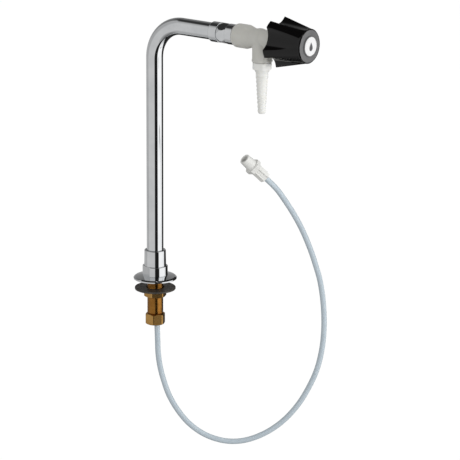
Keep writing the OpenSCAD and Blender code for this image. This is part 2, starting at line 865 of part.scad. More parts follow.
module stem_packing() {
    color("dimgray")
        on_arm(packing_x)
            ring(packing_d / 2, stem_d / 2 + run_gap, packing_l);
}

module packing_nut() {
    color("whitesmoke")
        difference() {
            union() {
                on_arm(packing_end)
                    cylinder(d = packing_d, h = neck_end - packing_end + seam);
                on_arm(neck_end)
                    chamfered_hex(packing_nut_flats, packing_nut_h, top = 1);
            }
            on_arm(packing_end - cut)
                cylinder(d = stem_d + 2 * run_gap, h = neck_end - packing_end + packing_nut_h + 2 * cut);
        }
}

module closing_disc() {
    color("dimgray")
        on_arm(disc_x)
            cylinder(d = disc_d, h = disc_t);
}

module disc_cup() {
    color("whitesmoke")
        difference() {
            on_arm(cup_x)
                cylinder(r = cup_r, h = cup_end - cup_x);
            on_arm(cup_x - cut)
                cylinder(d = disc_d, h = cup_pocket + cut);
            on_arm(tip_x)
                cylinder(d = stem_tip_d + 2 * run_gap, h = cup_end - tip_x + cut);
        }
}

module stem() {
    color("whitesmoke")
        difference() {
            union() {
                on_arm(tip_x + face_gap)
                    cylinder(d = stem_tip_d, h = thread_x - tip_x);
                on_arm(thread_x)
                    cylinder(d = stem_thread_d, h = thread_end - thread_x);
                on_arm(thread_end - seam)
                    cylinder(d = stem_d, h = shoulder_stem - thread_end + seam);
                on_arm(shoulder_stem - seam)
                    cylinder(d = stem_end_d, h = stem_end_l + seam);
            }
            on_arm(well_floor - screw_l - cut)
                cylinder(d = screw_d, h = screw_l + cut);
        }
}

// Knob

module knob() {
    rear_r = knob_rear_d / 2;
    front_r = knob_front_d / 2;
    valley_r = valley_rear_d / 2;
    lobe_l = knob_l - brow_l;
    lobe_end_r = front_r + lobe_step;
    flute_lean = atan((valley_r - front_r + flute_step) / lobe_l);
    slope = (rear_r - lobe_end_r) / lobe_l;
    color([0.13, 0.13, 0.13])
        difference() {
            union() {
                on_arm(knob_x)
                    difference() {
                        rotate_extrude()
                            polygon([
                                [0, 0], [rear_r - 1.5 * knob_rim, 0],
                                [rear_r - slope * knob_rim, knob_rim],
                                [lobe_end_r, lobe_l], [0, lobe_l]
                            ]);
                        for (k = [0 : lobe_count - 1])
                            rotate(180 + knob_set + 360 * k / lobe_count)
                                translate([valley_r + flute_r, 0, 0])
                                    rotate([0, -flute_lean, 0])
                                        translate([0, 0, -knob_l])
                                            cylinder(r = flute_r, h = 3 * knob_l);
                    }
                on_arm(front_x - brow_l - seam)
                    rotate_extrude()
                        polygon([
                            [0, 0], [front_r, 0], [front_r, brow_l + seam - front_bevel],
                            [front_r - front_bevel, brow_l + seam], [0, brow_l + seam]
                        ]);
            }
            on_arm(knob_x - cut)
                ring(knob_hollow_d / 2, boss_d / 2, well_floor - web_t - knob_x + cut);
            on_arm(knob_x - cut)
                cylinder(d = boss_d + seam, h = shoulder_stem - knob_x + cut);
            on_arm(shoulder_stem - cut)
                cylinder(d = stem_end_d + 2 * run_gap, h = well_floor - web_t - shoulder_stem + cut);
            on_arm(stem_end)
                cylinder(d = screw_d + screw_gap, h = knob_l);
            on_arm(well_floor)
                cylinder(d = well_d, h = knob_l);
            on_arm(index_x)
                cylinder(d = index_d + 2 * run_gap, h = knob_l);
        }
}

module knob_screw() {
    color("silver")
        union() {
            on_arm(well_floor)
                cylinder(d = screw_head_d, h = screw_head_h);
            on_arm(well_floor - screw_l)
                cylinder(d = screw_d - 2 * run_gap, h = screw_l + seam);
        }
}

module index_ring() {
    color("gray")
        difference() {
            on_arm(index_x)
                cylinder(d = index_d, h = index_t);
            on_arm(index_x + button_floor)
                cylinder(d = button_d + 2 * run_gap, h = index_t);
        }
}

module index_button() {
    crown = 0.5;
    color("white")
        on_arm(index_x + button_floor)
            rotate_extrude()
                polygon([
                    [0, 0], [button_d / 2, 0], [button_d / 2, button_t - crown],
                    [button_d / 2 - crown, button_t], [0, button_t]
                ]);
}

// Water supply

module supply_tube() {
    inside = [fitting_at + tube_stop / 2 * fitting_axis, fitting_at + tube_stop * fitting_axis];
    facing = [sin(loop_turn), -cos(loop_turn), 0];
    sides = 10;
    color("aliceblue")
        swept_tube(concat(smooth(concat(route, [fitting_at])), inside), water_r, sides, facing);
}

module fitting_body() {
    lip = 1;
    color("white")
        difference() {
            union() {
                on_fitting(fitting_spigot_z)
                    cylinder(d = fitting_spigot_d, h = fitting_spigot_l + seam);
                on_fitting(fitting_hex_z)
                    rotate(fitting_turn)
                        chamfered_hex(fitting_flats, fitting_hex_t, foot = 0.6, top = 0.8);
                on_fitting(inlet_z - seam)
                    cylinder(d = inlet_d, h = inlet_l - lip + seam);
                on_fitting(inlet_end - lip - seam)
                    cylinder(d1 = inlet_d, d2 = inlet_d - 2 * lip, h = lip + seam);
            }
            on_fitting(fitting_spigot_z - cut)
                cylinder(d = water_d + 2 * run_gap, h = tube_stop - fitting_spigot_z + cut);
            on_fitting(fitting_spigot_z)
                cylinder(d = water_d - 2 * water_wall, h = inlet_end);
            on_fitting(inlet_z)
                cylinder(d = inlet_bore_d, h = inlet_l + cut);
        }
}

module fitting_wing_nut() {
    mouth_gap = 0.3;
    mouth_d = water_d + 2 * mouth_gap;
    wing_foot = 0.6;
    color("white")
        on_fitting(0)
            rotate(wing_turn)
                difference() {
                    union() {
                        cylinder(d = wing_core_d, h = wing_nut_l);
                        for (turn = [0, 90])
                            rotate(turn)
                                translate([-wing_span / 2, -wing_t / 2, wing_foot])
                                    cube([wing_span, wing_t, wing_nut_l - wing_foot]);
                    }
                    translate([0, 0, -cut])
                        cylinder(d = mouth_d, h = wing_nut_l);
                    translate([0, 0, fitting_spigot_z - ferrule_l])
                        cylinder(d = fitting_spigot_d + 2 * run_gap, h = wing_nut_l);
                }
}

module fitting_ferrule() {
    color("white")
        on_fitting(fitting_spigot_z - ferrule_l)
            ring(fitting_spigot_d / 2, water_r + run_gap, ferrule_l);
}

base_flange();
base_collar();
swivel_sleeve();
thrust_washer();
swivel_seal();
mounting_shank();
inlet_gland();
clamp_washer();
locknut();
gooseneck_tube();
foot_ring();
arm_adapter();
lining_tube();
lining_ferrule();
valve_body();
hose_nozzle();
nozzle_gasket();
bonnet();
bonnet_seal();
stem_packing();
packing_nut();
closing_disc();
disc_cup();
stem();
knob();
knob_screw();
index_ring();
index_button();
supply_tube();
fitting_body();
fitting_wing_nut();
fitting_ferrule();
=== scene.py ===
from functools import partial
from math import atan2, ceil, cos, hypot, pi, radians, sin, sqrt, tan, tau
from types import SimpleNamespace
import bmesh
import bpy
from mathutils import Matrix, Vector


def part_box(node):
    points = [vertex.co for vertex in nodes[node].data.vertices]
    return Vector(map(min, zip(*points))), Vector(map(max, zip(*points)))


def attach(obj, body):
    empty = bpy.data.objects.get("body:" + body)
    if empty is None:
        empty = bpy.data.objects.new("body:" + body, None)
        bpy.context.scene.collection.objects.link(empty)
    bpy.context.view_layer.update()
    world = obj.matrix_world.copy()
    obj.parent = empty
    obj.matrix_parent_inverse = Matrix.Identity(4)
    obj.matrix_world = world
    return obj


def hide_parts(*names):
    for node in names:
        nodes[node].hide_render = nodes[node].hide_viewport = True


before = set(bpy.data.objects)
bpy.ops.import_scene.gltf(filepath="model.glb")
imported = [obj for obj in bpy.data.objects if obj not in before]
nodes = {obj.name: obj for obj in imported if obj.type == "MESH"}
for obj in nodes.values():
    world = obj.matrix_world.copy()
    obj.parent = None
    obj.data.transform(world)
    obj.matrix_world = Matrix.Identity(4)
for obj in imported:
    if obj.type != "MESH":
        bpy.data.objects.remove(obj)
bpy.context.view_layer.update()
scene = bpy.context.scene
mm = 0.001
print("frame loaded with", len(nodes), "nodes")


def sized(make):
    # lets a function read its piece's dictionary as plain names
    return lambda spec: make(SimpleNamespace(**spec))


# camera

tapCamera = {
    "compass": 39.823,      # degrees from the arm's line to the view's square
    "distance": 2.8759,
    "height": 0.8484,
    "aimOut": 0.085,
    "aimHeight": 0.05636,
    "roll": 0.294,
    "lens": 205.756,
    "sensor": 36.0,
    "farClip": 50.0,
}


@sized
def placeCamera(spec):
    turn = radians(spec.compass)
    place = Vector((spec.distance * sin(turn), -spec.distance * cos(turn), spec.height))
    aim = Vector((spec.aimOut * cos(turn), spec.aimOut * sin(turn), spec.aimHeight))
    ahead = (aim - place).normalized()
    right = ahead.cross(Vector((0, 0, 1))).normalized()
    up = right.cross(ahead)
    roll = radians(spec.roll)
    right, up = right * cos(roll) + up * sin(roll), up * cos(roll) - right * sin(roll)
    camera = bpy.data.objects.new("tapCamera", bpy.data.cameras.new("tapCamera"))
    camera.data.lens = spec.lens
    camera.data.sensor_width = spec.sensor
    camera.data.clip_end = spec.farClip
    camera.matrix_world = Matrix.Translation(place) @ Matrix((right, up, -ahead)).transposed().to_4x4()
    scene.collection.objects.link(camera)
    scene.camera = camera


placeCamera(tapCamera)
print("camera placed")


# node helpers, for shaders and for shapes

def wire(tree, target, value):
    if isinstance(value, bpy.types.NodeSocket):
        tree.links.new(value, target)
    elif value is not None:
        target.default_value = value


def fill(tree, node, entries):
    for label, value in entries.items():
        wire(tree, node.inputs[label], value)
    return node.outputs


def put(tree, kind, entries):
    return fill(tree, tree.nodes.new(kind), entries)


def calc(tree, operation, *values):
    node = tree.nodes.new("ShaderNodeMath")
    node.operation = operation
    return fill(tree, node, dict(enumerate(values)))[0]


def spread(tree, value, low, high, toLow=0.0, toHigh=1.0):
    return put(tree, "ShaderNodeMapRange", {
        "Value": value, "From Min": low, "From Max": high, "To Min": toLow, "To Max": toHigh,
    })[0]


def blendColour(tree, share, *colours):
    # sockets 6 and 7 of a mix node take colours, and socket 2 gives one
    node = tree.nodes.new("ShaderNodeMix")
    node.data_type = "RGBA"
    first, second = [(*c, 1) if isinstance(c, tuple) else c for c in colours]
    return fill(tree, node, {0: share, 6: first, 7: second})[2]


otherSockets = {"Geometry": "NodeSocketGeometry", "Finish": "NodeSocketMaterial"}


def newGroup(name, kind, inputs, outputs):
    # sockets are numbers, except those for the geometry and its finish
    tree = bpy.data.node_groups.new(name, kind)
    for label, value in inputs.items():
        number = "NodeSocketInt" if isinstance(value, int) else "NodeSocketFloat"
        socket = tree.interface.new_socket(label, in_out="INPUT", socket_type=otherSockets.get(label, number))
        if value is not None:
            socket.default_value = value
    for label in outputs:
        socketType = otherSockets.get(label, "NodeSocketFloat")
        tree.interface.new_socket(label, in_out="OUTPUT", socket_type=socketType)
    return tree, tree.nodes.new("NodeGroupInput").outputs, tree.nodes.new("NodeGroupOutput").inputs


# shared surface effects

def objectSpot(tree):
    return tree.nodes.new("ShaderNodeTexCoord").outputs["Object"]


def noiseAt(tree, place, scale, detail, rough=0.5):
    return put(tree, "ShaderNodeTexNoise", {
        "Vector": place, "Scale": scale, "Detail": detail, "Roughness": rough,
    })["Fac"]


def makeHandling():
    # smudges from hands and faint polishing lines along the part's length
    tree, given, made = newGroup("handling", "ShaderNodeTree", {
        "Smudge Scale": 40.0, "Line Scale": 900.0,
    }, ["Smudge", "Lines"])
    place = objectSpot(tree)
    cloud = noiseAt(tree, place, given["Smudge Scale"], 4.0, 0.55)
    wire(tree, made["Smudge"], spread(tree, cloud, 0.35, 0.7))
    drawnOut = put(tree, "ShaderNodeMapping", {"Scale": (1.0, 1.0, 0.04), "Vector": place})[0]
    wire(tree, made["Lines"], noiseAt(tree, drawnOut, given["Line Scale"], 2.0))
    return tree


def makeMoulding():
    # slow change of tone through the wall, and the mould's fine skin
    tree, given, made = newGroup("moulding", "ShaderNodeTree", {
        "Tone Scale": 60.0, "Skin Scale": 2500.0,
    }, ["Tone", "Skin"])
    place = objectSpot(tree)
    wire(tree, made["Tone"], spread(tree, noiseAt(tree, place, given["Tone Scale"], 3.0), 0.3, 0.7))
    wire(tree, made["Skin"], noiseAt(tree, place, given["Skin Scale"], 3.0, 0.6))
    return tree


def makeTurning():
    # tool lines round a turned part, one every so many metres along its axis
    tree, given, made = newGroup("turning", "ShaderNodeTree", {
        "Spacing": 0.0004, "Unevenness": 1.0,
    }, ["Grooves"])
    place = objectSpot(tree)
    along = put(tree, "ShaderNodeSeparateXYZ", {0: place})["Z"]
    wobble = calc(tree, "MULTIPLY", noiseAt(tree, place, 180.0, 2.0), given["Unevenness"])
    count = calc(tree, "DIVIDE", along, given["Spacing"])
    wave = calc(tree, "SINE", calc(tree, "ADD", count, wobble))
    wire(tree, made["Grooves"], spread(tree, wave, -1.0, 1.0))
    return tree


handling, moulding, turning = makeHandling(), makeMoulding(), makeTurning()


def useGroup(tree, group, values):
    node = tree.nodes.new("ShaderNodeGroup")
    node.node_tree = group
    return fill(tree, node, values)


finishes = {}


def newFinish(name):
    finishes[name] = bpy.data.materials.new(name)
    finishes[name].use_nodes = True
    tree = finishes[name].node_tree
    return tree, tree.nodes["Principled BSDF"].inputs


def dress(tree, shader, look, share, relief, strength):
    # two tones and two roughnesses blended by share, over a fine relief in metres
    wire(tree, shader["Base Color"], blendColour(tree, share, *look["tones"]))
    wire(tree, shader["Roughness"], spread(tree, share, 0.0, 1.0, *look["gloss"]))
    bump = put(tree, "ShaderNodeBump", {"Strength": strength, "Distance": look["relief"], "Height": relief})
    wire(tree, shader["Normal"], bump[0])


# smudges and lines are scales of the handling marks, grooves is the spacing of tool lines
turnedMarks = {"smudges": 160.0, "grooves": 0.00012, "uneven": 1.5, "strength": 0.5, "metal": 1.0}
pressedMarks = {"smudges": 320.0, "lines": 2600.0, "relief": 0.00004, "strength": 0.6}
metalLooks = {
    "chrome": {"tones": ((0.80, 0.81, 0.82), (0.70, 0.715, 0.73)), "gloss": (0.012, 0.04), "metal": 1.0,
               "smudges": 55.0, "lines": 1400.0, "relief": 0.000002, "strength": 1.0},
    "brass": {"tones": ((0.385, 0.178, 0.036), (0.30, 0.13, 0.026)), "gloss": (0.18, 0.28),
              "relief": 0.000008, **turnedMarks},
    "brightBrass": {"tones": ((0.58, 0.34, 0.11), (0.46, 0.25, 0.07)), "gloss": (0.28, 0.36),
                    "relief": 0.000004, **turnedMarks},
    "washerSteel": {"tones": ((0.070, 0.062, 0.052), (0.042, 0.038, 0.033)), "gloss": (0.36, 0.54),
                    "metal": 0.2, **pressedMarks},
    "screwSteel": {"tones": ((0.62, 0.62, 0.61), (0.42, 0.42, 0.42)), "gloss": (0.22, 0.38),
                   "metal": 1.0, **pressedMarks},
}


def makeMetal(name, look):
    tree, shader = newFinish(name)
    marks = useGroup(tree, handling, {"Smudge Scale": look["smudges"], "Line Scale": look.get("lines")})
    relief = marks["Lines"]
    if "grooves" in look:
        lathe = useGroup(tree, turning, {"Spacing": look["grooves"], "Unevenness": look["uneven"]})
        relief = lathe["Grooves"]
    dress(tree, shader, look, marks["Smudge"], relief, look["strength"])
    shader["Metallic"].default_value = look["metal"]


# through is the share of light that passes into the wall, and how far in metres
plasticLooks = {
    "milkyPlastic": {"tones": ((0.62, 0.615, 0.575), (0.595, 0.59, 0.55)), "gloss": (0.38, 0.48),
                     "relief": 0.00001, "through": (0.35, 0.006)},
    "whitePlastic": {"tones": ((0.86, 0.86, 0.83), (0.80, 0.80, 0.77)), "gloss": (0.34, 0.46),
                     "relief": 0.000003, "through": (0.2, 0.003)},
    "fittingPlastic": {"tones": ((0.74, 0.74, 0.715), (0.70, 0.70, 0.675)), "gloss": (0.32, 0.42),
                       "relief": 0.000002},
    "tubePlastic": {"tones": ((0.50, 0.57, 0.62), (0.47, 0.54, 0.59)), "gloss": (0.26, 0.36),
                    "relief": 0.000003, "through": (0.15, 0.001)},
    "knobPlastic": {"tones": ((0.0022, 0.0019, 0.002), (0.0027, 0.0023, 0.0024)), "gloss": (0.08, 0.11),
                    "relief": 0.000003, "shine": 0.36},
    "indexGrey": {"tones": ((0.15, 0.15, 0.152), (0.12, 0.12, 0.122)), "gloss": (0.34, 0.46),
                  "relief": 0.000012},
    "indexWhite": {"tones": ((0.80, 0.80, 0.80), (0.76, 0.76, 0.76)), "gloss": (0.22, 0.30),
                   "relief": 0.00001, "through": (0.1, 0.002)},
    "dropletGrey": {"tones": ((0.09, 0.09, 0.095), (0.07, 0.07, 0.075)), "gloss": (0.30, 0.40),
                    "relief": 0.00001},
    "sealRubber": {"tones": ((0.020, 0.020, 0.021), (0.034, 0.034, 0.035)), "gloss": (0.55, 0.70),
                   "relief": 0.00003},
    "slipPlastic": {"tones": ((0.78, 0.76, 0.68), (0.70, 0.68, 0.60)), "gloss": (0.40, 0.52),
                    "relief": 0.00002, "through": (0.2, 0.003)},
}
mould = {"tone": 70.0, "skin": 2600.0, "strength": 0.7, "shine": 0.5, "bleed": (1.0, 0.95, 0.85)}


def makePlastic(name, look):
    tree, shader = newFinish(name)
    cast = useGroup(tree, moulding, {"Tone Scale": mould["tone"], "Skin Scale": mould["skin"]})
    dress(tree, shader, look, cast["Tone"], cast["Skin"], mould["strength"])
    shader["Specular IOR Level"].default_value = look.get("shine", mould["shine"])
    if "through" in look:
        shader["Subsurface Weight"].default_value, shader["Subsurface Scale"].default_value = look["through"]
        shader["Subsurface Radius"].default_value = mould["bleed"]


for looks, makeFinish in ((metalLooks, makeMetal), (plasticLooks, makePlastic)):
    for finishName, finishLook in looks.items():
        makeFinish(finishName, finishLook)

print("finishes made:", len(finishes))

# shapes, in millimetres

tiny = 1e-6
weldGap = 1e-7          # metres
sideShare = 0.49        # part of a side that one rounding may take
crispAngle = 34.0       # degrees, sharper edges are not smoothed over
play = 0.05             # room between pieces that fit together


def rounded(outline, steps=5):
    # closed outline of (radius, height, rounding), where a corner without rounding stays sharp
    made = []
    for i, (r, z, *fillet) in enumerate(outline):
        corner = Vector((r, z))
        before = Vector(outline[i - 1][:2]) - corner
        after = Vector(outline[(i + 1) % len(outline)][:2]) - corner
        if not fillet or min(before.length, after.length) < tiny:
            made.append((r, z))
            continue
        half = before.angle(after) / 2
        back = min(fillet[0] / tan(half), sideShare * before.length, sideShare * after.length)
        radius = back * tan(half)
        start = corner + before.normalized() * back
        finish = corner + after.normalized() * back
        middle = corner + (before.normalized() + after.normalized()).normalized() * (radius / sin(half))
        first = atan2(start.y - middle.y, start.x - middle.x)
        swing = atan2(finish.y - middle.y, finish.x - middle.x) - first
        swing = (swing + pi) % tau - pi
        for k in range(steps + 1):
            turn = first + swing * k / steps
            made.append((middle.x + radius * cos(turn), middle.y + radius * sin(turn)))
    return made


def finer(outline, step):
    made = []
    for i, (r, z) in enumerate(outline):
        toR, toZ = outline[(i + 1) % len(outline)]
        pieces = max(1, ceil(hypot(toR - r, toZ - z) / step))
        made += [(r + (toR - r) * k / pieces, z + (toZ - z) * k / pieces) for k in range(pieces)]
    return made


def softMin(a, b, width):
    share = max(width - abs(a - b), 0.0) / width
    return min(a, b) - share * share * width / 4


def softMax(a, b, width):
    return -softMin(-a, -b, width)


def smooth(mesh, sharp):
    mesh.shade_smooth()
    mesh.set_sharp_from_angle(angle=radians(sharp))
    return mesh


def tidyMesh(mesh, sharp=crispAngle):
    work = bmesh.new()
    work.from_mesh(mesh)
    bmesh.ops.remove_doubles(work, verts=work.verts, dist=weldGap)
    bmesh.ops.recalc_face_normals(work, faces=work.faces)
    work.to_mesh(mesh)
    work.free()
    return smooth(mesh, sharp)


def meshFrom(rings, faces, spot, sharp=crispAngle):
    mesh = bpy.data.meshes.new("shape")
    at = (spot or Matrix()) @ Matrix.Scale(mm, 4)
    mesh.from_pydata([at @ Vector(p) for ring in rings for p in ring], [], faces)
    return tidyMesh(mesh, sharp)


def ringFaces(count, joins):
    # the faces between rings of equal count, numbered one after the other
    faces = []
    for i, j in joins:
        for k in range(count):
            n = (k + 1) % count
            faces.append((i * count + k, i * count + n, j * count + n, j * count + k))
    return faces


def loft(rings, spot=None, sharp=crispAngle):
    # the last ring is joined to the first, so that the wall closes on itself
    onAxis = [max(hypot(p[0], p[1]) for p in ring) < tiny for ring in rings]
    joins = [(i, (i + 1) % len(rings)) for i in range(len(rings))]
    joins = [(i, j) for i, j in joins if not (onAxis[i] and onAxis[j])]
    return meshFrom(rings, ringFaces(len(rings[0]), joins), spot, sharp)


def turned(outline, spot=None, sides=128, step=None, limit=None, begin=0.0):
    # an outline turned round its axis, cut finer by step; limit(angle, radius, height) holds it in, for flats
    points = rounded(outline)
    rings = []
    for r, z in finer(points, step) if step else points:
        ring = []
        for k in range(sides):
            angle = begin + tau * k / sides
            reach = r if limit is None else limit(angle, r, z)
            ring.append((reach * cos(angle), reach * sin(angle), z))
        rings.append(ring)
    return loft(rings, spot)


def hexTurned(outline, spec, low, high, step=0.3, sides=180, spot=None):
    # a hexagon between two heights, with corners at turn + 60 degrees each that are softened by hexEdge
    flats, turn, edge = spec.flats, radians(spec.turn), spec.hexEdge

    def limit(angle, r, z):
        if z < low - tiny or z > high + tiny:
            return r
        off = (angle - turn) % (pi / 3) - pi / 6
        return min(r, softMin(flats / 2 / cos(off), flats / sqrt(3) - edge / 2, edge))
    return turned(outline, spot, sides, step, limit, turn)


def onArm(x):
    return Matrix.Translation((x * mm, 0, armHeight * mm)) @ Matrix.Rotation(pi / 2, 4, "Y")


def underOutlet(drop):
    return Matrix.Translation((outletX * mm, 0, (armHeight - drop) * mm))


def onFitting(z=0.0):
    compass, lean = radians(fitting["compass"]), radians(fitting["lean"])
    turn = Matrix.Rotation(compass, 4, "Z") @ Matrix.Rotation(lean, 4, "Y")
    return Matrix.Translation(Vector(fitting["at"]) * mm) @ turn @ Matrix.Translation((0, 0, z * mm))


def span(node):
    low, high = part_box(node)
    return Vector(low) / mm, Vector(high) / mm


def newPiece(name, mesh, finish, body, slot, *standsFor):
    piece = bpy.data.objects.new(name, mesh)
    mesh.name = name
    mesh.materials.clear()
    mesh.materials.append(finishes[finish])
    scene.collection.objects.link(piece)
    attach(piece, body)
    if standsFor:
        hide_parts(*standsFor)
    return piece


def settled(mesh, build):
    # modifiers put on by build, turned into plain mesh
    draft = bpy.data.objects.new("draft", mesh)
    scene.collection.objects.link(draft)
    build(draft)
    deps = bpy.context.evaluated_depsgraph_get()
    made = bpy.data.meshes.new_from_object(draft.evaluated_get(deps), depsgraph=deps)
    draft.modifiers.clear()
    bpy.data.objects.remove(draft)
    return made


# shape trees

def endTree(tree, made, geometry, finish):
    real = put(tree, "GeometryNodeRealizeInstances", {0: geometry})[0]
    painted = put(tree, "GeometryNodeSetMaterial", {"Geometry": real, "Material": finish})[0]
    wire(tree, made["Geometry"], painted)


def makeRidgeTree():
    # ridges round an axis: a spiral for a thread, closed rings for barbs
    tree, size, made = newGroup("ridges", "GeometryNodeTree", {
        "Geometry": None, "Pitch": 0.0015, "Depth": 0.0004, "Crest": 0.5, "Spiral": 1.0,
        "From": 0.0, "To": 0.01, "Run Out": 0.001, "Least Radius": 0.005, "Finish": None,
    }, ["Geometry"])
    do = partial(calc, tree)
    spot = tree.nodes.new("GeometryNodeInputPosition").outputs[0]
    x, y, z = put(tree, "ShaderNodeSeparateXYZ", {0: spot})
    reach = do("SQRT", do("ADD", do("MULTIPLY", x, x), do("MULTIPLY", y, y)))
    around = do("DIVIDE", do("ARCTAN2", y, x), tau)
    along = do("DIVIDE", do("SUBTRACT", z, size["From"]), size["Pitch"])
    phase = do("FRACT", do("SUBTRACT", along, do("MULTIPLY", around, size["Spiral"])))
    rise = do("DIVIDE", phase, size["Crest"])
    fall = do("DIVIDE", do("SUBTRACT", 1.0, phase), do("SUBTRACT", 1.0, size["Crest"]))
    ridge = do("MINIMUM", rise, fall)
    fades = []
    for ahead, behind in ((z, size["From"]), (size["To"], z)):
        share = do("DIVIDE", do("SUBTRACT", ahead, behind), size["Run Out"])
        fades.append(do("MINIMUM", do("MAXIMUM", share, 0.0), 1.0))
    outside = do("GREATER_THAN", reach, size["Least Radius"])
    push = do("MULTIPLY", do("MULTIPLY", ridge, size["Depth"]), outside)
    push = do("MULTIPLY", push, do("MULTIPLY", *fades))
    share = do("DIVIDE", push, do("MAXIMUM", reach, tiny))
    shift = put(tree, "ShaderNodeCombineXYZ", {0: do("MULTIPLY", x, share), 1: do("MULTIPLY", y, share)})[0]
    moved = put(tree, "GeometryNodeSetPosition", {"Geometry": size["Geometry"], "Offset": shift})[0]
    endTree(tree, made, moved, size["Finish"])
    return tree


def makeBendTree():
    # a round tube swept along a path whose corners are bent to one radius
    tree, size, made = newGroup("bentTube", "GeometryNodeTree", {
        "Geometry": None, "Tube Radius": 0.0095, "Bend Radius": 0.03, "Bend Steps": 40,
        "Sides": 96, "Finish": None,
    }, ["Geometry"])
    path = put(tree, "GeometryNodeMeshToCurve", {"Mesh": size["Geometry"]})[0]
    bend = tree.nodes.new("GeometryNodeFilletCurve")
    bend.mode = "POLY"
    bent = fill(tree, bend, {"Curve": path, "Count": size["Bend Steps"], "Radius": size["Bend Radius"]})[0]
    circle = {"Resolution": size["Sides"], "Radius": size["Tube Radius"]}
    section = put(tree, "GeometryNodeCurvePrimitiveCircle", circle)[0]
    swept = put(tree, "GeometryNodeCurveToMesh", {"Curve": bent, "Profile Curve": section})[0]
    endTree(tree, made, swept, size["Finish"])
    return tree


ridgeTree, bendTree = makeRidgeTree(), makeBendTree()


def grown(mesh, tree, finish, lengths, **values):
    # runs a shape tree on a mesh and keeps the plain result
    slots = {s.name: s.identifier for s in tree.interface.items_tree if s.in_out == "INPUT"}

    def build(draft):
        run = draft.modifiers.new("shape", "NODES")
        run.node_group = tree
        run[slots["Finish"]] = finishes[finish]
        for label, value in lengths.items():
            run[slots[label]] = value * mm
        for label, value in values.items():
            run[slots[label]] = value
    return settled(mesh, build)


def ridged(mesh, finish, spec, low, high, crest=0.5, spiral=1.0):
    # a thread between two heights, outside the least radius, or barbs where spiral is 0
    return grown(mesh, ridgeTree, finish, {
        "Pitch": spec.pitch, "Depth": spec.depth, "From": low, "To": high,
        "Run Out": spec.runOut, "Least Radius": spec.least,
    }, Crest=crest, Spiral=spiral)


print("shape trees made")

# sizes that several pieces share

armHeight = 296.0
neckRadius = 19.05 / 2
collarRadius = 14.4
baseWay = 6.0           # radius of the way up through the base
shankBore = span("mounting_shank")[1].x + play
fitting = {"at": (119.6, 47.8, 127.9), "lean": 47.0, "compass": -115.0, "wingNut": 17.5, "hex": 5.2}
outletX = sum(c.x for c in span("hose_nozzle")) / 2

# water tube, from inside the shank to the fitting

waterTube = {
    "diameter": 6.35,
    "held": 15.5,       # length inside the fitting
    "smooth": 4,        # points made between two points of the route
    "roundness": 7,
    "route": [
        (0, 0, -30), (0, 0, -37), (0.6, 0.5, -45), (1.4, 1.2, -54), (1.7, 1.5, -64),
        (2, 1.7, -76), (2.4, 2, -90), (4.2, 3.5, -107), (7.5, 6.3, -124), (12, 10, -141),
        (19, 16, -158), (29, 24, -174.5), (42, 35, -188), (57, 47.5, -196), (72, 60, -198),
        (87, 72.5, -194), (102, 85, -184.5), (115.5, 96.3, -170.5), (127, 106, -152.5), (136, 113.5, -132),
        (143, 119.3, -110), (147.3, 122.8, -84), (148.6, 124, -57), (147.6, 123, -30), (145, 120.2, -5),
        (141.7, 115.5, 15), (138, 108.5, 37), (133.7, 97.5, 62), (129.5, 85.5, 83), (125.5, 71.5, 103),
        (123, 62, 114.5), (119.6, 47.8, 127.9),
    ],
}


@sized
def makeWaterTube(spec):
    route = [Vector(p) * mm for p in spec.route]
    line = []
    for i in range(len(route) - 1):
        a, b, c, d = route[max(i - 1, 0)], route[i], route[i + 1], route[min(i + 2, len(route) - 1)]
        bow, twist = 2 * a - 5 * b + 4 * c - d, 3 * b - a - 3 * c + d
        for k in range(spec.smooth):
            t = k / spec.smooth
            line.append(0.5 * (2 * b + (c - a) * t + bow * t ** 2 + twist * t ** 3))
    line.append(route[-1])
    line += [onFitting(spec.held * share) @ Vector((0, 0, 0)) for share in (0.5, 1.0)]
    curve = bpy.data.curves.new("waterTube", "CURVE")
    curve.dimensions = "3D"
    curve.bevel_depth = spec.diameter / 2 * mm
    curve.bevel_resolution = spec.roundness
    curve.use_fill_caps = True
    spline = curve.splines.new("POLY")
    spline.points.add(len(line) - 1)
    for point, spot in zip(spline.points, line):
        point.co = (*spot, 1)
    spline.use_smooth = True
    length = sum((b - a).length for a, b in zip(line, line[1:]))
    return newPiece("waterTube", curve, "tubePlastic", "base", "tube_plastic", "supply_tube"), length


tubePiece, tubeLength = makeWaterTube(waterTube)
print("water tube laid,", round(tubeLength, 4), "m")

# fitting on the tube's end

fittingBody = {
    "flats": 16.6, "turn": -14.0, "hexEdge": 0.2, "spigot": 4.3, "spigotLength": 9.0,
    "tubeHole": 3.25, "tubeDepth": 7.2, "bore": 3.9, "boreDepth": 12.0, "way": 2.2,
    "maleFoot": 6.72, "maleEnd": 6.1, "maleLength": 12.8,
    "pitch": 1.34, "depth": 0.09, "runOut": 1.5, "least": 5.2, "threadStart": 0.8, "threadStop": 1.2,
}


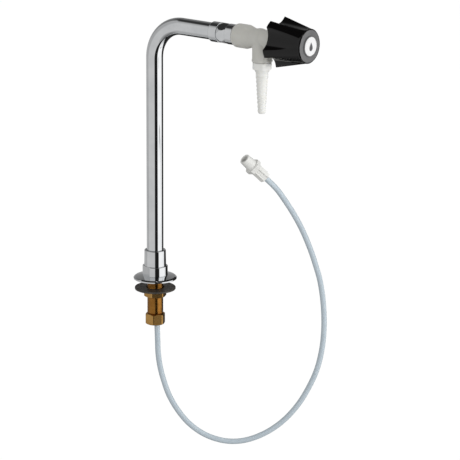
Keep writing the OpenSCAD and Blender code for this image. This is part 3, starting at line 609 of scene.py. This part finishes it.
@sized
def makeFittingBody(spec):
    nut, hexEnd = fitting["wingNut"], fitting["wingNut"] + fitting["hex"]
    foot, tip = nut - spec.spigotLength, hexEnd + spec.maleLength
    tubeStop, boreFloor = foot + spec.tubeDepth, tip - spec.boreDepth
    corner = spec.flats / sqrt(3)
    outline = [
        (spec.tubeHole, foot, 0.2), (spec.spigot, foot, 0.3), (spec.spigot, nut),
        (corner - 0.4, nut), (corner, nut + 0.3, 0.1), (corner, hexEnd - 0.4, 0.1), (corner - 0.8, hexEnd),
        (spec.maleFoot + 0.3, hexEnd), (spec.maleFoot, hexEnd + 0.5, 0.3), (spec.maleEnd, tip, 0.9),
        (spec.bore + 0.1, tip, 0.5), (spec.bore, boreFloor, 0.4), (spec.way, boreFloor - 0.6, 0.2),
        (spec.way, tubeStop + 0.8, 0.2), (spec.tubeHole, tubeStop, 0.1),
    ]
    mesh = hexTurned(outline, spec, nut, hexEnd, step=0.35)
    mesh = ridged(mesh, "fittingPlastic", spec, hexEnd + spec.threadStart, tip - spec.threadStop)
    mesh.transform(onFitting())
    return newPiece("fittingBody", tidyMesh(mesh), "fittingPlastic", "base", "white_plastic", "fitting_body")


wingNut = {
    "turn": 31.0, "core": 5.4, "skin": 0.3, "span": 13.2, "wing": 5.2, "wingFoot": 0.6, "blend": 0.3,
    "edge": 0.2, "mouth": 3.475, "socket": 4.35, "ferruleRoom": 3.8,
}


@sized
def makeWingNut(spec):
    top = fitting["wingNut"]
    socketFoot = top - fittingBody["spigotLength"] - spec.ferruleRoom
    turn = radians(spec.turn)

    def wings(angle, r, z):
        if r < spec.core - spec.skin or z > top + tiny:
            return r
        grow = min(1.0, max(0.0, z / spec.wingFoot))
        reach = spec.core
        for side in (turn, turn + pi / 2):
            across, along = [max(abs(f(angle - side)), tiny) for f in (sin, cos)]
            wing = softMin(spec.span / 2 / along, spec.wing / 2 / across, spec.edge)
            reach = softMax(reach, spec.core + max(0.0, wing - spec.core) * grow, spec.blend)
        return reach + (r - spec.core)
    outline = [
        (spec.mouth, 0, 0.2), (spec.core, 0, 0.6), (spec.core, top, 0.25),
        (spec.socket, top, 0.1), (spec.socket, socketFoot, 0.1), (spec.mouth, socketFoot),
    ]
    mesh = turned(outline, onFitting(), sides=240, step=0.4, limit=wings, begin=turn)
    return newPiece("wingNut", mesh, "fittingPlastic", "base", "white_plastic", "fitting_wing_nut")


fittingPieces = [makeFittingBody(fittingBody), makeWingNut(wingNut), nodes["fitting_ferrule"]]
print("fitting made")

# base on the deck

flangePlate = {
    "rim": 2.8, "bevel": 1.4, "bevelSlope": 1.35, "bevelRound": 0.9, "rimRound": 0.7, "footRound": 0.4,
    "seat": 0.4, "seatRound": 0.6,
}


@sized
def makeFlange(spec):
    low, high = span("base_flange")
    rim = low.z + spec.rim
    outline = [
        (shankBore, low.z, 0.15), (high.x, low.z, spec.footRound), (high.x, rim - spec.bevel, spec.rimRound),
        (high.x - spec.bevel * spec.bevelSlope, rim, spec.bevelRound),
        (collarRadius + spec.seat, high.z, spec.seatRound), (shankBore, high.z),
    ]
    mesh = turned(outline, sides=192)
    newPiece("flangePlate", mesh, "chrome", "base", "chrome", "base_flange")


collarRing = {
    "flats": 25.0, "flatsTurn": -15.0, "flatsFrom": 12.0, "flatEdge": 0.5, "lip": 1.1, "foot": 0.3,
    "recess": 12.1, "recessDepth": 0.5, "neck": 10.65, "neckHole": 9.6, "floor": 1.0,
}


@sized
def makeCollar(spec):
    low, high = span("base_collar")
    sleeveFoot = span("swivel_sleeve")[0].z
    recessFoot = sleeveFoot - spec.recessDepth
    shankTop = span("mounting_shank")[1].z
    floorTop = shankTop + spec.floor
    turn = radians(spec.flatsTurn)

    def flats(angle, r, z):
        if r < spec.flatsFrom or z > sleeveFoot:
            return r
        across = abs(sin(angle - turn))
        return softMin(r, spec.flats / 2 / max(across, tiny), spec.flatEdge)
    outline = [
        (shankBore, low.z, 0.1), (collarRadius, low.z, spec.foot), (collarRadius, sleeveFoot, spec.lip),
        (spec.recess + 0.1, sleeveFoot, 0.2), (spec.recess, recessFoot, 0.1), (spec.neck, recessFoot, 0.1),
        (spec.neck, high.z, 0.2), (spec.neckHole, high.z, 0.1), (spec.neckHole, floorTop, 0.05),
        (baseWay, floorTop, 0.05), (baseWay, shankTop, 0.05), (shankBore, shankTop, 0.05),
    ]
    mesh = turned(outline, sides=240, step=0.5, limit=flats, begin=turn)
    newPiece("collarRing", mesh, "chrome", "base", "chrome", "base_collar")


sleeveRing = {"lip": 1.15, "foot": 0.1, "mouth": 0.75, "top": 12.2, "inside": 10.75, "sealGroove": 11.25}


@sized
def makeSleeve(spec):
    low, high = span("swivel_sleeve")
    sealLow, sealHigh = [c.z for c in span("swivel_seal")]
    grooveLow, grooveHigh = sealLow - play, sealHigh + play
    ringTop = span("foot_ring")[1].z + 2 * play
    bore = neckRadius + play
    outline = [
        (spec.inside, low.z, 0.1), (high.x, low.z + 0.02, spec.foot), (spec.top, high.z, spec.lip),
        (bore + spec.mouth, high.z, 0.35), (bore, high.z - spec.mouth, 0.2),
        (bore, grooveHigh, 0.05), (spec.sealGroove, grooveHigh, 0.05), (spec.sealGroove, grooveLow, 0.05),
        (bore, grooveLow, 0.05), (bore, ringTop, 0.05), (spec.inside, ringTop, 0.05),
    ]
    mesh = turned(outline, sides=160)
    newPiece("sleeveRing", mesh, "chrome", "base", "chrome", "swivel_sleeve")


makeFlange(flangePlate)
makeCollar(collarRing)
makeSleeve(sleeveRing)

threadedShank = {
    "pitch": 1.5, "depth": 0.3, "endBevel": 0.8, "runOut": 2.0, "least": 8.0,
    "glandHole": 7.05, "glandDepth": 8.1, "sharp": 60,
}


@sized
def makeShank(spec):
    low, high = span("mounting_shank")
    root = high.x - spec.depth
    glandTop = low.z + spec.glandDepth
    outline = [
        (spec.glandHole, low.z), (root - spec.endBevel * 0.5, low.z, 0.1),
        (root, low.z + spec.endBevel, 0.1), (root, high.z, 0.1), (baseWay, high.z, 0.1),
        (baseWay, glandTop), (spec.glandHole, glandTop),
    ]
    mesh = turned(outline, sides=96, step=spec.pitch / 8)
    mesh = ridged(mesh, "brass", spec, low.z, high.z)
    newPiece("threadedShank", tidyMesh(mesh, spec.sharp), "brass", "base", "brass", "mounting_shank")


makeShank(threadedShank)


def hexSide(spec, low, high):
    # a hexagon's corner from end to end, with bevels given inwards and along
    corner = spec.flats / sqrt(3)
    footIn, footAlong = spec.footBevel
    topIn, topAlong = spec.topBevel
    return [
        (corner - footIn, low, 0.3), (corner, low + footAlong, 0.2),
        (corner, high - topAlong, 0.2), (corner - topIn, high, 0.2),
    ]


glandNut = {
    "flats": 20.4, "turn": -4.0, "hexEdge": 0.45, "footBevel": (1.9, 1.1), "topBevel": (2.6, 1.5),
    "hole": 5.6, "spigot": 7.0,
}


@sized
def makeGland(spec):
    low, high = span("inlet_gland")
    top = span("mounting_shank")[0].z
    outline = [
        (spec.hole, low.z, 0.4), *hexSide(spec, low.z, top), (spec.spigot, top),
        (spec.spigot, high.z, 0.2), (spec.hole, high.z, 0.2),
    ]
    mesh = hexTurned(outline, spec, low.z, top)
    newPiece("glandNut", mesh, "brightBrass", "base", "brass", "inlet_gland")


lockNut = {
    "flats": 23.0, "turn": -8.0, "hexEdge": 0.45, "footBevel": (2.4, 1.3), "topBevel": (1.3, 0.7),
    "mouth": 0.65, "mouthDepth": 0.8,
}


@sized
def makeLocknut(spec):
    low, high = span("locknut")
    mouth = shankBore + spec.mouth
    outline = [
        (shankBore, low.z + spec.mouthDepth, 0.1), (mouth, low.z, 0.1), *hexSide(spec, low.z, high.z),
        (mouth, high.z, 0.1), (shankBore, high.z - spec.mouthDepth, 0.1),
    ]
    mesh = hexTurned(outline, spec, low.z, high.z)
    newPiece("lockNut", mesh, "brightBrass", "nut", "brass", "locknut")


makeGland(glandNut)
makeLocknut(lockNut)

clampDisc = {"edge": 0.4, "hole": 10.3}


@sized
def makeClampDisc(spec):
    low, high = span("clamp_washer")
    outline = [
        (spec.hole, low.z, 0.15), (high.x, low.z, 0.2), (high.x, high.z, spec.edge), (spec.hole, high.z, 0.3),
    ]
    mesh = turned(outline, sides=160, step=2.0)
    newPiece("clampDisc", mesh, "washerSteel", "clamp", "washer_steel", "clamp_washer")


makeClampDisc(clampDisc)
print("base made")

# gooseneck and the adapter on its arm

gooseneck = {"bend": 40.0, "wall": 1.2, "steps": 48, "sides": 96, "sharp": 40}


@sized
def makeGooseneck(spec):
    low, high = span("gooseneck_tube")
    path = bpy.data.meshes.new("gooseneckPath")
    corners = [(0, 0, low.z), (0, 0, armHeight), (high.x, 0, armHeight)]
    path.from_pydata([Vector(p) * mm for p in corners], [(0, 1), (1, 2)], [])
    mesh = grown(path, bendTree, "chrome", {"Tube Radius": neckRadius, "Bend Radius": spec.bend},
                 **{"Bend Steps": spec.steps, "Sides": spec.sides})
    outward = bmesh.new()
    outward.from_mesh(mesh)
    bmesh.ops.recalc_face_normals(outward, faces=outward.faces)
    side = min(outward.faces, key=lambda face: face.calc_center_median().z)
    middle = side.calc_center_median()
    if side.normal.x * middle.x + side.normal.y * middle.y < 0:
        bmesh.ops.reverse_faces(outward, faces=outward.faces)
    outward.to_mesh(mesh)
    outward.free()

    def wall(draft):
        shell = draft.modifiers.new("wall", "SOLIDIFY")
        shell.thickness = spec.wall * mm
        shell.offset = -1.0
    mesh = smooth(settled(mesh, wall), spec.sharp)
    newPiece("gooseneck", mesh, "chrome", "spout", "chrome", "gooseneck_tube")


armAdapter = {
    "ring": 11.2, "ringEdge": 0.8, "flats": 21.4, "turn": 10.0, "hexLength": 11.2, "hexEdge": 0.7,
    "groove": 0.6, "grooveDepth": 0.8, "crown": 1.5, "crownRound": 6.0, "end": 11.3, "endEdge": 0.35,
    "spigot": 9.0, "liningHole": 3.775,
}


@sized
def makeAdapter(spec):
    low, high = span("arm_adapter")
    tubeEnd = span("gooseneck_tube")[1].x - low.x
    hubFace = span("valve_body")[0].x - low.x
    end = high.x - low.x
    hexFoot = tubeEnd + spec.groove
    hexTop = hexFoot + spec.hexLength
    corner, grooved = spec.flats / sqrt(3), spec.ring - spec.grooveDepth
    outline = [
        (neckRadius, 0, 0.1), (spec.ring, 0, spec.ringEdge), (spec.ring, tubeEnd - 0.1, 0.35),
        (grooved, tubeEnd + 0.1, 0.1), (grooved, hexFoot), (corner - spec.crown, hexFoot, 0.1),
        (corner, (hexFoot + hexTop) / 2, spec.crownRound), (corner - spec.crown, hexTop, 0.1),
        (spec.end, hexTop + 0.4, spec.endEdge), (spec.end, hubFace, 0.2), (spec.spigot, hubFace),
        (spec.spigot, end, 0.3), (spec.liningHole, end, 0.1), (spec.liningHole, tubeEnd),
        (neckRadius, tubeEnd),
    ]
    mesh = hexTurned(outline, spec, hexFoot, hexTop, sides=240, spot=onArm(low.x))
    newPiece("armAdapter", mesh, "chrome", "spout", "chrome", "arm_adapter")


makeGooseneck(gooseneck)
makeAdapter(armAdapter)
print("gooseneck made")

# valve

valveBody = {
    "hub": 13.1, "hubLength": 16.2, "hubEdge": 3.2, "shoulder": 8.0, "chamber": 10.5,
    "band": 11.3, "bandLength": 10.0, "bandBack": 2.9, "bandSlope": 3.5,
    "branch": 10.9, "branchRim": 11.4, "rimHeight": 2.2, "drop": 24.7, "branchSunk": 2,
    "spigotHole": 9.05, "ferruleHole": 5.85, "ferruleRim": 0.65, "ferruleTip": 3.75, "liningHole": 3.225,
    "seatHole": 2.5, "bonnetHole": 7.6, "nozzleHole": 7.05, "nozzleDepth": 9, "outletHole": 4.5,
    "voxel": 0.42, "softening": 7, "sides": 96, "sharp": 45,
}


@sized
def makeValveBody(spec):
    low, high = span("valve_body")
    length = high.x - low.x
    arm, outlet, sides, past = onArm(low.x), underOutlet(spec.drop), spec.sides, 2
    hub = turned([
        (0, 0), (spec.hub, 0, spec.hubEdge), (spec.hub, spec.hubLength, 2.0),
        (spec.chamber, spec.hubLength + spec.shoulder, 2.0), (spec.chamber, length, 0.6), (0, length),
    ], arm, sides)
    bandFoot = outletX - low.x - spec.bandBack - spec.bandLength / 2
    bandTop = bandFoot + spec.bandLength
    band = turned([
        (0, bandFoot), (spec.chamber - 0.1, bandFoot), (spec.band, bandFoot + spec.bandSlope, 3.0),
        (spec.band, bandTop - spec.bandSlope, 3.0), (spec.chamber - 0.1, bandTop), (0, bandTop),
    ], arm, sides)
    branchTop = spec.drop - spec.branchSunk
    branch = turned([
        (0, 0), (spec.branchRim, 0, 0.6), (spec.branchRim, spec.rimHeight, 0.5),
        (spec.branch, spec.rimHeight + 0.3, 0.2), (spec.branch, branchTop), (0, branchTop),
    ], outlet, sides)
    whole = bmesh.new()
    for part in (hub, band, branch):
        whole.from_mesh(part)
    joined = bpy.data.meshes.new("valveBody")
    whole.to_mesh(joined)
    whole.free()
    ferrule, ferruleEnd = [c.x - low.x for c in span("lining_ferrule")]
    ferruleEnd += 2 * play
    tubeEnd = span("lining_tube")[1].x - low.x
    seat = span("closing_disc")[0].x - low.x - 2 * play
    armBore = turned([
        (0, -past), (spec.spigotHole, -past), (spec.spigotHole, ferrule), (spec.ferruleHole, ferrule),
        (spec.ferruleHole, ferrule + spec.ferruleRim), (spec.ferruleTip, ferruleEnd),
        (spec.liningHole, ferruleEnd), (spec.liningHole, tubeEnd), (spec.seatHole, tubeEnd),
        (spec.seatHole, seat), (spec.bonnetHole, seat), (spec.bonnetHole, length + past), (0, length + past),
    ], arm, sides)
    outletBore = turned([
        (0, -past), (spec.nozzleHole, -past), (spec.nozzleHole, spec.nozzleDepth),
        (spec.outletHole, spec.nozzleDepth), (spec.outletHole, spec.drop), (0, spec.drop),
    ], outlet, sides)
    cutters = []
    for tool in (armBore, outletBore):
        cutters.append(bpy.data.objects.new("cutter", tool))
        scene.collection.objects.link(cutters[-1])

    def build(draft):
        melt = draft.modifiers.new("melt", "REMESH")
        melt.mode = "VOXEL"
        melt.voxel_size = spec.voxel * mm
        soft = draft.modifiers.new("soft", "SMOOTH")
        soft.factor = 0.5
        soft.iterations = spec.softening
        for cutter in cutters:
            bore = draft.modifiers.new("bore", "BOOLEAN")
            bore.operation = "DIFFERENCE"
            bore.solver = "EXACT"
            bore.object = cutter
    mesh = smooth(settled(joined, build), spec.sharp)
    for cutter in cutters:
        bpy.data.objects.remove(cutter)
    newPiece("valveBody", mesh, "milkyPlastic", "spout", "milky_plastic", "valve_body")


makeValveBody(valveBody)

hoseNozzle = {
    "flats": 20.6, "turn": 10.0, "hexTop": 25.3, "hexHeight": 8.0, "hexEdge": 1.1, "hexFoot": 2.6,
    "cone": 3.4, "neck": 6.8, "neckLength": 4.0, "bore": 2.5, "spigot": 7.0, "spigotLength": 8.6,
    "barbs": 9, "pitch": 4.6, "firstBarb": 7.0, "lastBarb": 4.45, "depth": 0.8,
    "crest": 0.78, "runOut": 0.4, "least": 3.2, "sharp": 50,
}


@sized
def makeNozzle(spec):
    # heights run down from the arm's axis, so they are negative here
    hexTop = -spec.hexTop
    spigotTop = hexTop + spec.spigotLength
    hexFoot = hexTop - spec.hexHeight
    neckTop = hexFoot - spec.cone
    barbTop = neckTop - spec.neckLength
    tip = barbTop - spec.barbs * spec.pitch
    corner = spec.flats / sqrt(3)
    coneTop = corner - spec.hexFoot
    first, last = spec.firstBarb - spec.depth, spec.lastBarb - spec.depth
    outline = [
        (spec.bore, spigotTop, 0.2), (spec.spigot, spigotTop, 0.4), (spec.spigot, hexTop),
        (corner - 0.4, hexTop, 0.2), (corner, hexTop - 0.3, 0.2), (corner, hexFoot + spec.hexFoot * 0.5, 0.4),
        (coneTop, hexFoot, 0.3), (coneTop - 0.5, hexFoot, 0.2), (spec.neck, neckTop, 0.8),
        (spec.neck, barbTop + 0.5, 0.3), (first, barbTop, 0.1), (last, tip + 0.8, 0.3),
        (last - 0.7, tip, 0.6), (spec.bore, tip, 0.3),
    ]
    mesh = hexTurned(outline, spec, hexFoot, hexTop, step=0.36, sides=120)
    mesh = ridged(mesh, "whitePlastic", spec, tip, barbTop, spec.crest, 0.0)
    mesh.transform(underOutlet(0))
    tidyMesh(mesh, spec.sharp)
    newPiece("hoseNozzle", mesh, "whitePlastic", "spout", "white_plastic", "hose_nozzle")


makeNozzle(hoseNozzle)

bonnetCap = {
    "flange": 10.4, "flangeLength": 4.9, "neck": 8.6, "edge": 0.7, "spigot": 7.55, "sealGroove": 5.95,
    "stemRoom": 5.05, "stemHole": 4.05, "packingHole": 6.45, "web": 1,
}


@sized
def makeBonnet(spec):
    low, high = span("bonnet")
    bodyEnd = span("valve_body")[1].x - low.x
    flangeEnd = bodyEnd + spec.flangeLength
    neckEnd = high.x - low.x
    packFoot = span("stem_packing")[0].x - low.x
    webFoot = packFoot - spec.web
    sealLow, sealHigh = [c.x - low.x for c in span("bonnet_seal")]
    grooveLow, grooveHigh = sealLow - play, sealHigh + play
    outline = [
        (spec.stemRoom, 0, 0.1), (spec.spigot, 0, 0.3), (spec.spigot, grooveLow, 0.05),
        (spec.sealGroove, grooveLow, 0.05), (spec.sealGroove, grooveHigh, 0.05),
        (spec.spigot, grooveHigh, 0.05), (spec.spigot, bodyEnd), (spec.flange, bodyEnd, spec.edge),
        (spec.flange, flangeEnd, spec.edge), (spec.neck, flangeEnd, 0.8), (spec.neck, neckEnd, 0.5),
        (spec.packingHole, neckEnd, 0.1), (spec.packingHole, packFoot), (spec.stemHole, packFoot),
        (spec.stemHole, webFoot), (spec.stemRoom, webFoot),
    ]
    mesh = turned(outline, onArm(low.x))
    newPiece("bonnetCap", mesh, "milkyPlastic", "spout", "milky_plastic", "bonnet")


makeBonnet(bonnetCap)
print("valve made")

# knob with its index

lobedKnob = {
    "rear": 28.2, "front": 18.8, "valley": 19.6, "flute": 16.5, "lobes": 5, "turn": 2.5, "rim": 0.9,
    "frontBevel": 0.9, "brow": 3.0, "lobeStep": 0.2, "valleyStep": 1.0, "browSoft": 0.35, "lobeSoft": 1.2,
    "hollow": 16.0, "boss": 7.5, "indexHole": 17.75, "well": 10.0, "screwHead": 2.2, "screwHole": 1.7,
    "web": 2.8, "stemHole": 3.55, "stemDepth": 13.0, "stemSunk": 0.2, "sides": 480, "rings": 30, "bends": 6,
    "sharp": 40,
}


@sized
def makeKnob(spec):
    low, high = span("knob")
    length = high.x - low.x
    wellFloor = span("knob_screw")[1].x - spec.screwHead - low.x
    webFoot = wellFloor - spec.web
    stemTop = webFoot + spec.stemSunk
    shoulder = span("stem")[1].x - spec.stemDepth - low.x
    indexFloor = span("index_ring")[0].x - low.x
    lobeEnd = length - spec.brow
    taper = (spec.rear - spec.front - spec.lobeStep) / lobeEnd
    lean = (spec.valley - spec.front + spec.valleyStep) / lobeEnd
    pitch = tau / spec.lobes

    def reach(angle, z):
        lobe = spec.rear - taper * z
        away = spec.valley - lean * z + spec.flute
        off = (angle - pi - radians(spec.turn)) % pitch
        off = min(off, pitch - off)
        inside = spec.flute ** 2 - (away * sin(off)) ** 2
        if inside <= 0:
            return lobe
        return softMin(lobe, away * cos(off) - sqrt(inside), spec.lobeSoft)

    angles = [tau * k / spec.sides for k in range(spec.sides)]
    rings, bends, soft = [], spec.bends, spec.browSoft
    for k in range(bends + 1):                      # rear rim, rolled over
        t = pi / 2 * k / bends
        z, inset = spec.rim * (1 - cos(t)), spec.rim * (1 - sin(t))
        rings.append([(reach(a, z) - inset, a, z) for a in angles])
    for k in range(1, spec.rings + 1):
        z = spec.rim + (lobeEnd - soft - spec.rim) * k / spec.rings
        rings.append([(reach(a, z), a, z) for a in angles])
    for k in range(1, bends + 1):                   # lobes end on the round front band
        share = k / bends
        share = share * share * (3 - 2 * share)
        z = lobeEnd - soft + 2 * soft * k / bends
        rings.append([(reach(a, z) * (1 - share) + spec.front * share, a, z) for a in angles])
    for share in (0.0, 1.0):                        # front bevel
        z = length - spec.frontBevel * (1 - share)
        rings.append([(spec.front - spec.frontBevel * share, a, z) for a in angles])
    lip, steps = 0.15, 3
    inner = rounded([
        (spec.indexHole, length, lip), (spec.indexHole, indexFloor, 0.1), (spec.well, indexFloor, 0.1),
        (spec.well, wellFloor, 0.2), (spec.screwHole, wellFloor), (spec.screwHole, stemTop),
        (spec.stemHole, stemTop), (spec.stemHole, shoulder, 0.1), (spec.boss, shoulder, 0.4),
        (spec.boss, webFoot, 0.6), (spec.hollow, webFoot, 1.0), (spec.hollow, 0, 0.8),
    ], steps)
    inner[:steps + 1] = [(spec.indexHole, length - lip)]
    rings += [[(r, a, z) for a in angles] for r, z in inner]
    rings = [[(r * cos(a), r * sin(a), z) for r, a, z in ring] for ring in rings]
    mesh = loft(rings, onArm(low.x), spec.sharp)
    newPiece("lobedKnob", mesh, "knobPlastic", "handle", "knob_plastic", "knob")


makeKnob(lobedKnob)

indexPlate = {
    "edge": 0.35, "button": 10.4, "floor": 1.0, "crown": 0.12, "crownRings": 8,
    "rim": 0.75, "rimSlope": 0.3, "rimUnder": 0.35,
}


@sized
def makeIndexPlate(spec):
    low, high = span("index_ring")
    depth = high.x - low.x
    hole = spec.button + play
    rim = hole + spec.rim
    rimTop = span("index_button")[1].x - low.x - spec.rimUnder
    outline = [
        (0, 0), (high.y, 0, 0.1), (high.y, depth, spec.edge), (rim + spec.rimSlope, depth, 0.25),
        (rim, rimTop, 0.3), (hole, rimTop, 0.1), (hole, spec.floor, 0.05), (0, spec.floor),
    ]
    mesh = turned(outline, onArm(low.x), 160)
    newPiece("indexPlate", mesh, "indexGrey", "handle", "index_grey", "index_ring")
    low, high = span("index_button")
    depth, count = high.x - low.x, spec.crownRings
    crown = [(spec.button * k / count, depth - spec.crown * (k / count) ** 2) for k in range(count)]
    edge = [(0, 0), (spec.button, 0, 0.1), (spec.button, depth - spec.crown, 0.6)]
    mesh = turned(edge + crown[::-1], onArm(low.x))
    newPiece("indexButton", mesh, "indexWhite", "handle", "index_white", "index_button")


makeIndexPlate(indexPlate)

waterDrop = {
    "height": 9.6, "width": 6.2, "thick": 0.12, "sunk": 0.5, "pinch": 1.3, "swell": 1.25, "draw": 0.96,
    "points": 48,
}


@sized
def makeWaterDrop(spec):
    # plain drop laid in the button's face, point upwards
    face = span("index_button")[1].x - indexPlate["crown"] * 0.25
    count = spec.points
    outline = []
    for k in range(count):
        t = tau * k / count
        across = spec.width / 2 * sin(t) * sin(t / 2) ** spec.pinch
        outline.append((across * spec.swell, spec.height / 2 * cos(t)))
    rings = []
    for depth, share in ((-spec.sunk, 1.0), (0.0, 1.0), (spec.thick, spec.draw)):
        rings.append([(-y * share, x * share, depth) for x, y in outline])
    faces = ringFaces(count, [(0, 1), (1, 2)])
    faces += [tuple(range(count)), tuple(range(2 * count, 3 * count))]
    mesh = meshFrom(rings, faces, onArm(face))
    newPiece("waterDrop", mesh, "dropletGrey", "handle", "index_grey")


makeWaterDrop(waterDrop)
print("knob made")

# pieces kept as the frame has them

keptFinishes = {
    "foot_ring": "brass", "thrust_washer": "slipPlastic", "swivel_seal": "sealRubber",
    "lining_tube": "tubePlastic", "lining_ferrule": "whitePlastic", "nozzle_gasket": "milkyPlastic",
    "bonnet_seal": "sealRubber", "stem_packing": "slipPlastic", "packing_nut": "milkyPlastic",
    "closing_disc": "sealRubber", "disc_cup": "milkyPlastic", "stem": "milkyPlastic",
    "knob_screw": "screwSteel", "fitting_ferrule": "whitePlastic",
}
for nodeName, finishName in keptFinishes.items():
    for holder in nodes[nodeName].material_slots:
        holder.material = finishes[finishName]
print("kept pieces finished:", len(keptFinishes))

# floor and light

studio = {
    "floorHeight": -0.2015, "floorSize": 12.0, "floorTone": (0.05, 0.05, 0.05), "floorShade": 0.985,
    "floorRough": 0.8, "floorGlow": 0.97, "ambient": (0.55, 0.55, 0.55), "brightest": 1.6,
    # what polished metal sees: shares of the front-left, back-left and right cards by compass, in degrees
    "compass": [
        (-180, 0.4, 0.5, 0), (-177, 0.74, 0, 0), (-150, 0.74, 0, 0), (-138, 1, 0, 0), (-54, 1, 0, 0),
        (-50, 0, 0, 0.012), (-14, 0, 0, 0.012), (-10, 0, 0, 1), (55, 0, 0, 1), (59, 0, 0, 0.02),
        (105, 0, 0, 0.02), (108, 0, 1, 0), (177, 0, 1, 0), (180, 0.4, 0.5, 0),
    ],
    # brightness of those three cards by height over the horizon, in degrees
    "height": [
        (-90, 0.05, 0.03, 0.3), (-58, 0.45, 0.03, 1.1), (-52, 0.64, 0.03, 1.15), (-26, 0.64, 0.04, 1.15),
        (-16, 0.64, 0.6, 1.15), (-8, 0.64, 0.5, 1.15), (14, 0.64, 0.27, 1.15), (38, 0.65, 0.16, 1.15),
        (47, 0.65, 0.04, 1.1), (51, 0.045, 0.04, 0.1), (90, 0.04, 0.04, 0.04),
    ],
    "lamps": [
        {"spot": (2.1, 0.2, 0.4), "size": 1.6, "power": 28.0},
        {"spot": (0.3, -2.0, 0.6), "size": 1.6, "power": 7.0},
        {"spot": (0.4, 1.5, 1.6), "size": 1.6, "power": 3.0},
    ],
    "lampAim": (0.08, 0.02, 0.1),
}


def cardRamp(tree, value, entries, reach, top):
    # entries run from -reach to reach degrees
    ramp = tree.nodes.new("ShaderNodeValToRGB")
    steps = ramp.color_ramp.elements
    while len(steps) < len(entries):
        steps.new(0.5)
    for step, (at, *shares) in zip(steps, entries):
        step.position = (at + reach) / (2 * reach)
        step.color = (*[share / top for share in shares], 1)
    return fill(tree, ramp, {0: spread(tree, value, radians(-reach), radians(reach))})[0]


@sized
def makeWorld(spec):
    world = bpy.data.worlds.new("studio")
    world.use_nodes = True
    tree = world.node_tree
    around = tree.nodes.new("ShaderNodeTexCoord").outputs["Generated"]
    x, y, z = put(tree, "ShaderNodeSeparateXYZ", {0: around})
    compass, height = calc(tree, "ARCTAN2", y, x), calc(tree, "ARCSINE", z)
    cards = tree.nodes.new("ShaderNodeVectorMath")
    cards.operation = "DOT_PRODUCT"
    seenShare = fill(tree, cards, {
        0: cardRamp(tree, compass, spec.compass, 180, 1.0),
        1: cardRamp(tree, height, spec.height, 90, spec.brightest),
    })["Value"]
    ray = tree.nodes.new("ShaderNodeLightPath").outputs
    mirrored = calc(tree, "MULTIPLY", seenShare, spec.brightest)
    seen = blendColour(tree, ray["Is Glossy Ray"], spec.ambient, mirrored)
    seen = blendColour(tree, ray["Is Camera Ray"], seen, (1.0, 1.0, 1.0))
    wire(tree, tree.nodes["Background"].inputs["Color"], seen)
    scene.world = world


@sized
def makeFloor(spec):
    half, z = spec.floorSize / 2, spec.floorHeight
    sheet = bpy.data.meshes.new("paleFloor")
    corners = [(-half, -half, z), (half, -half, z), (half, half, z), (-half, half, z)]
    sheet.from_pydata(corners, [], [(0, 1, 2, 3)])
    tree, shader = newFinish("paleFloor")
    shaded = tuple(spec.floorShade * c for c in spec.floorTone)
    cast = noiseAt(tree, objectSpot(tree), 3.0, 2.0)
    wire(tree, shader["Base Color"], blendColour(tree, cast, spec.floorTone, shaded))
    shader["Roughness"].default_value = spec.floorRough
    shader["Emission Color"].default_value = (1, 1, 1, 1)
    shader["Emission Strength"].default_value = spec.floorGlow
    sheet.materials.append(finishes["paleFloor"])
    floor = bpy.data.objects.new("paleFloor", sheet)
    scene.collection.objects.link(floor)
    floor.visible_glossy = False
    floor.visible_diffuse = False


@sized
def makeLamps(spec):
    for i, lamp in enumerate(spec.lamps):
        light = bpy.data.lights.new("softLamp%d" % i, "AREA")
        light.shape = "DISK"
        light.size = lamp["size"]
        light.energy = lamp["power"]
        holder = bpy.data.objects.new(light.name, light)
        aim = Vector(spec.lampAim) - Vector(lamp["spot"])
        holder.rotation_euler = aim.to_track_quat("-Z", "Y").to_euler()
        holder.location = lamp["spot"]
        holder.visible_glossy = False
        scene.collection.objects.link(holder)


makeWorld(studio)
makeFloor(studio)
makeLamps(studio)
scene.view_settings.view_transform = "Standard"
print("floor and light set")
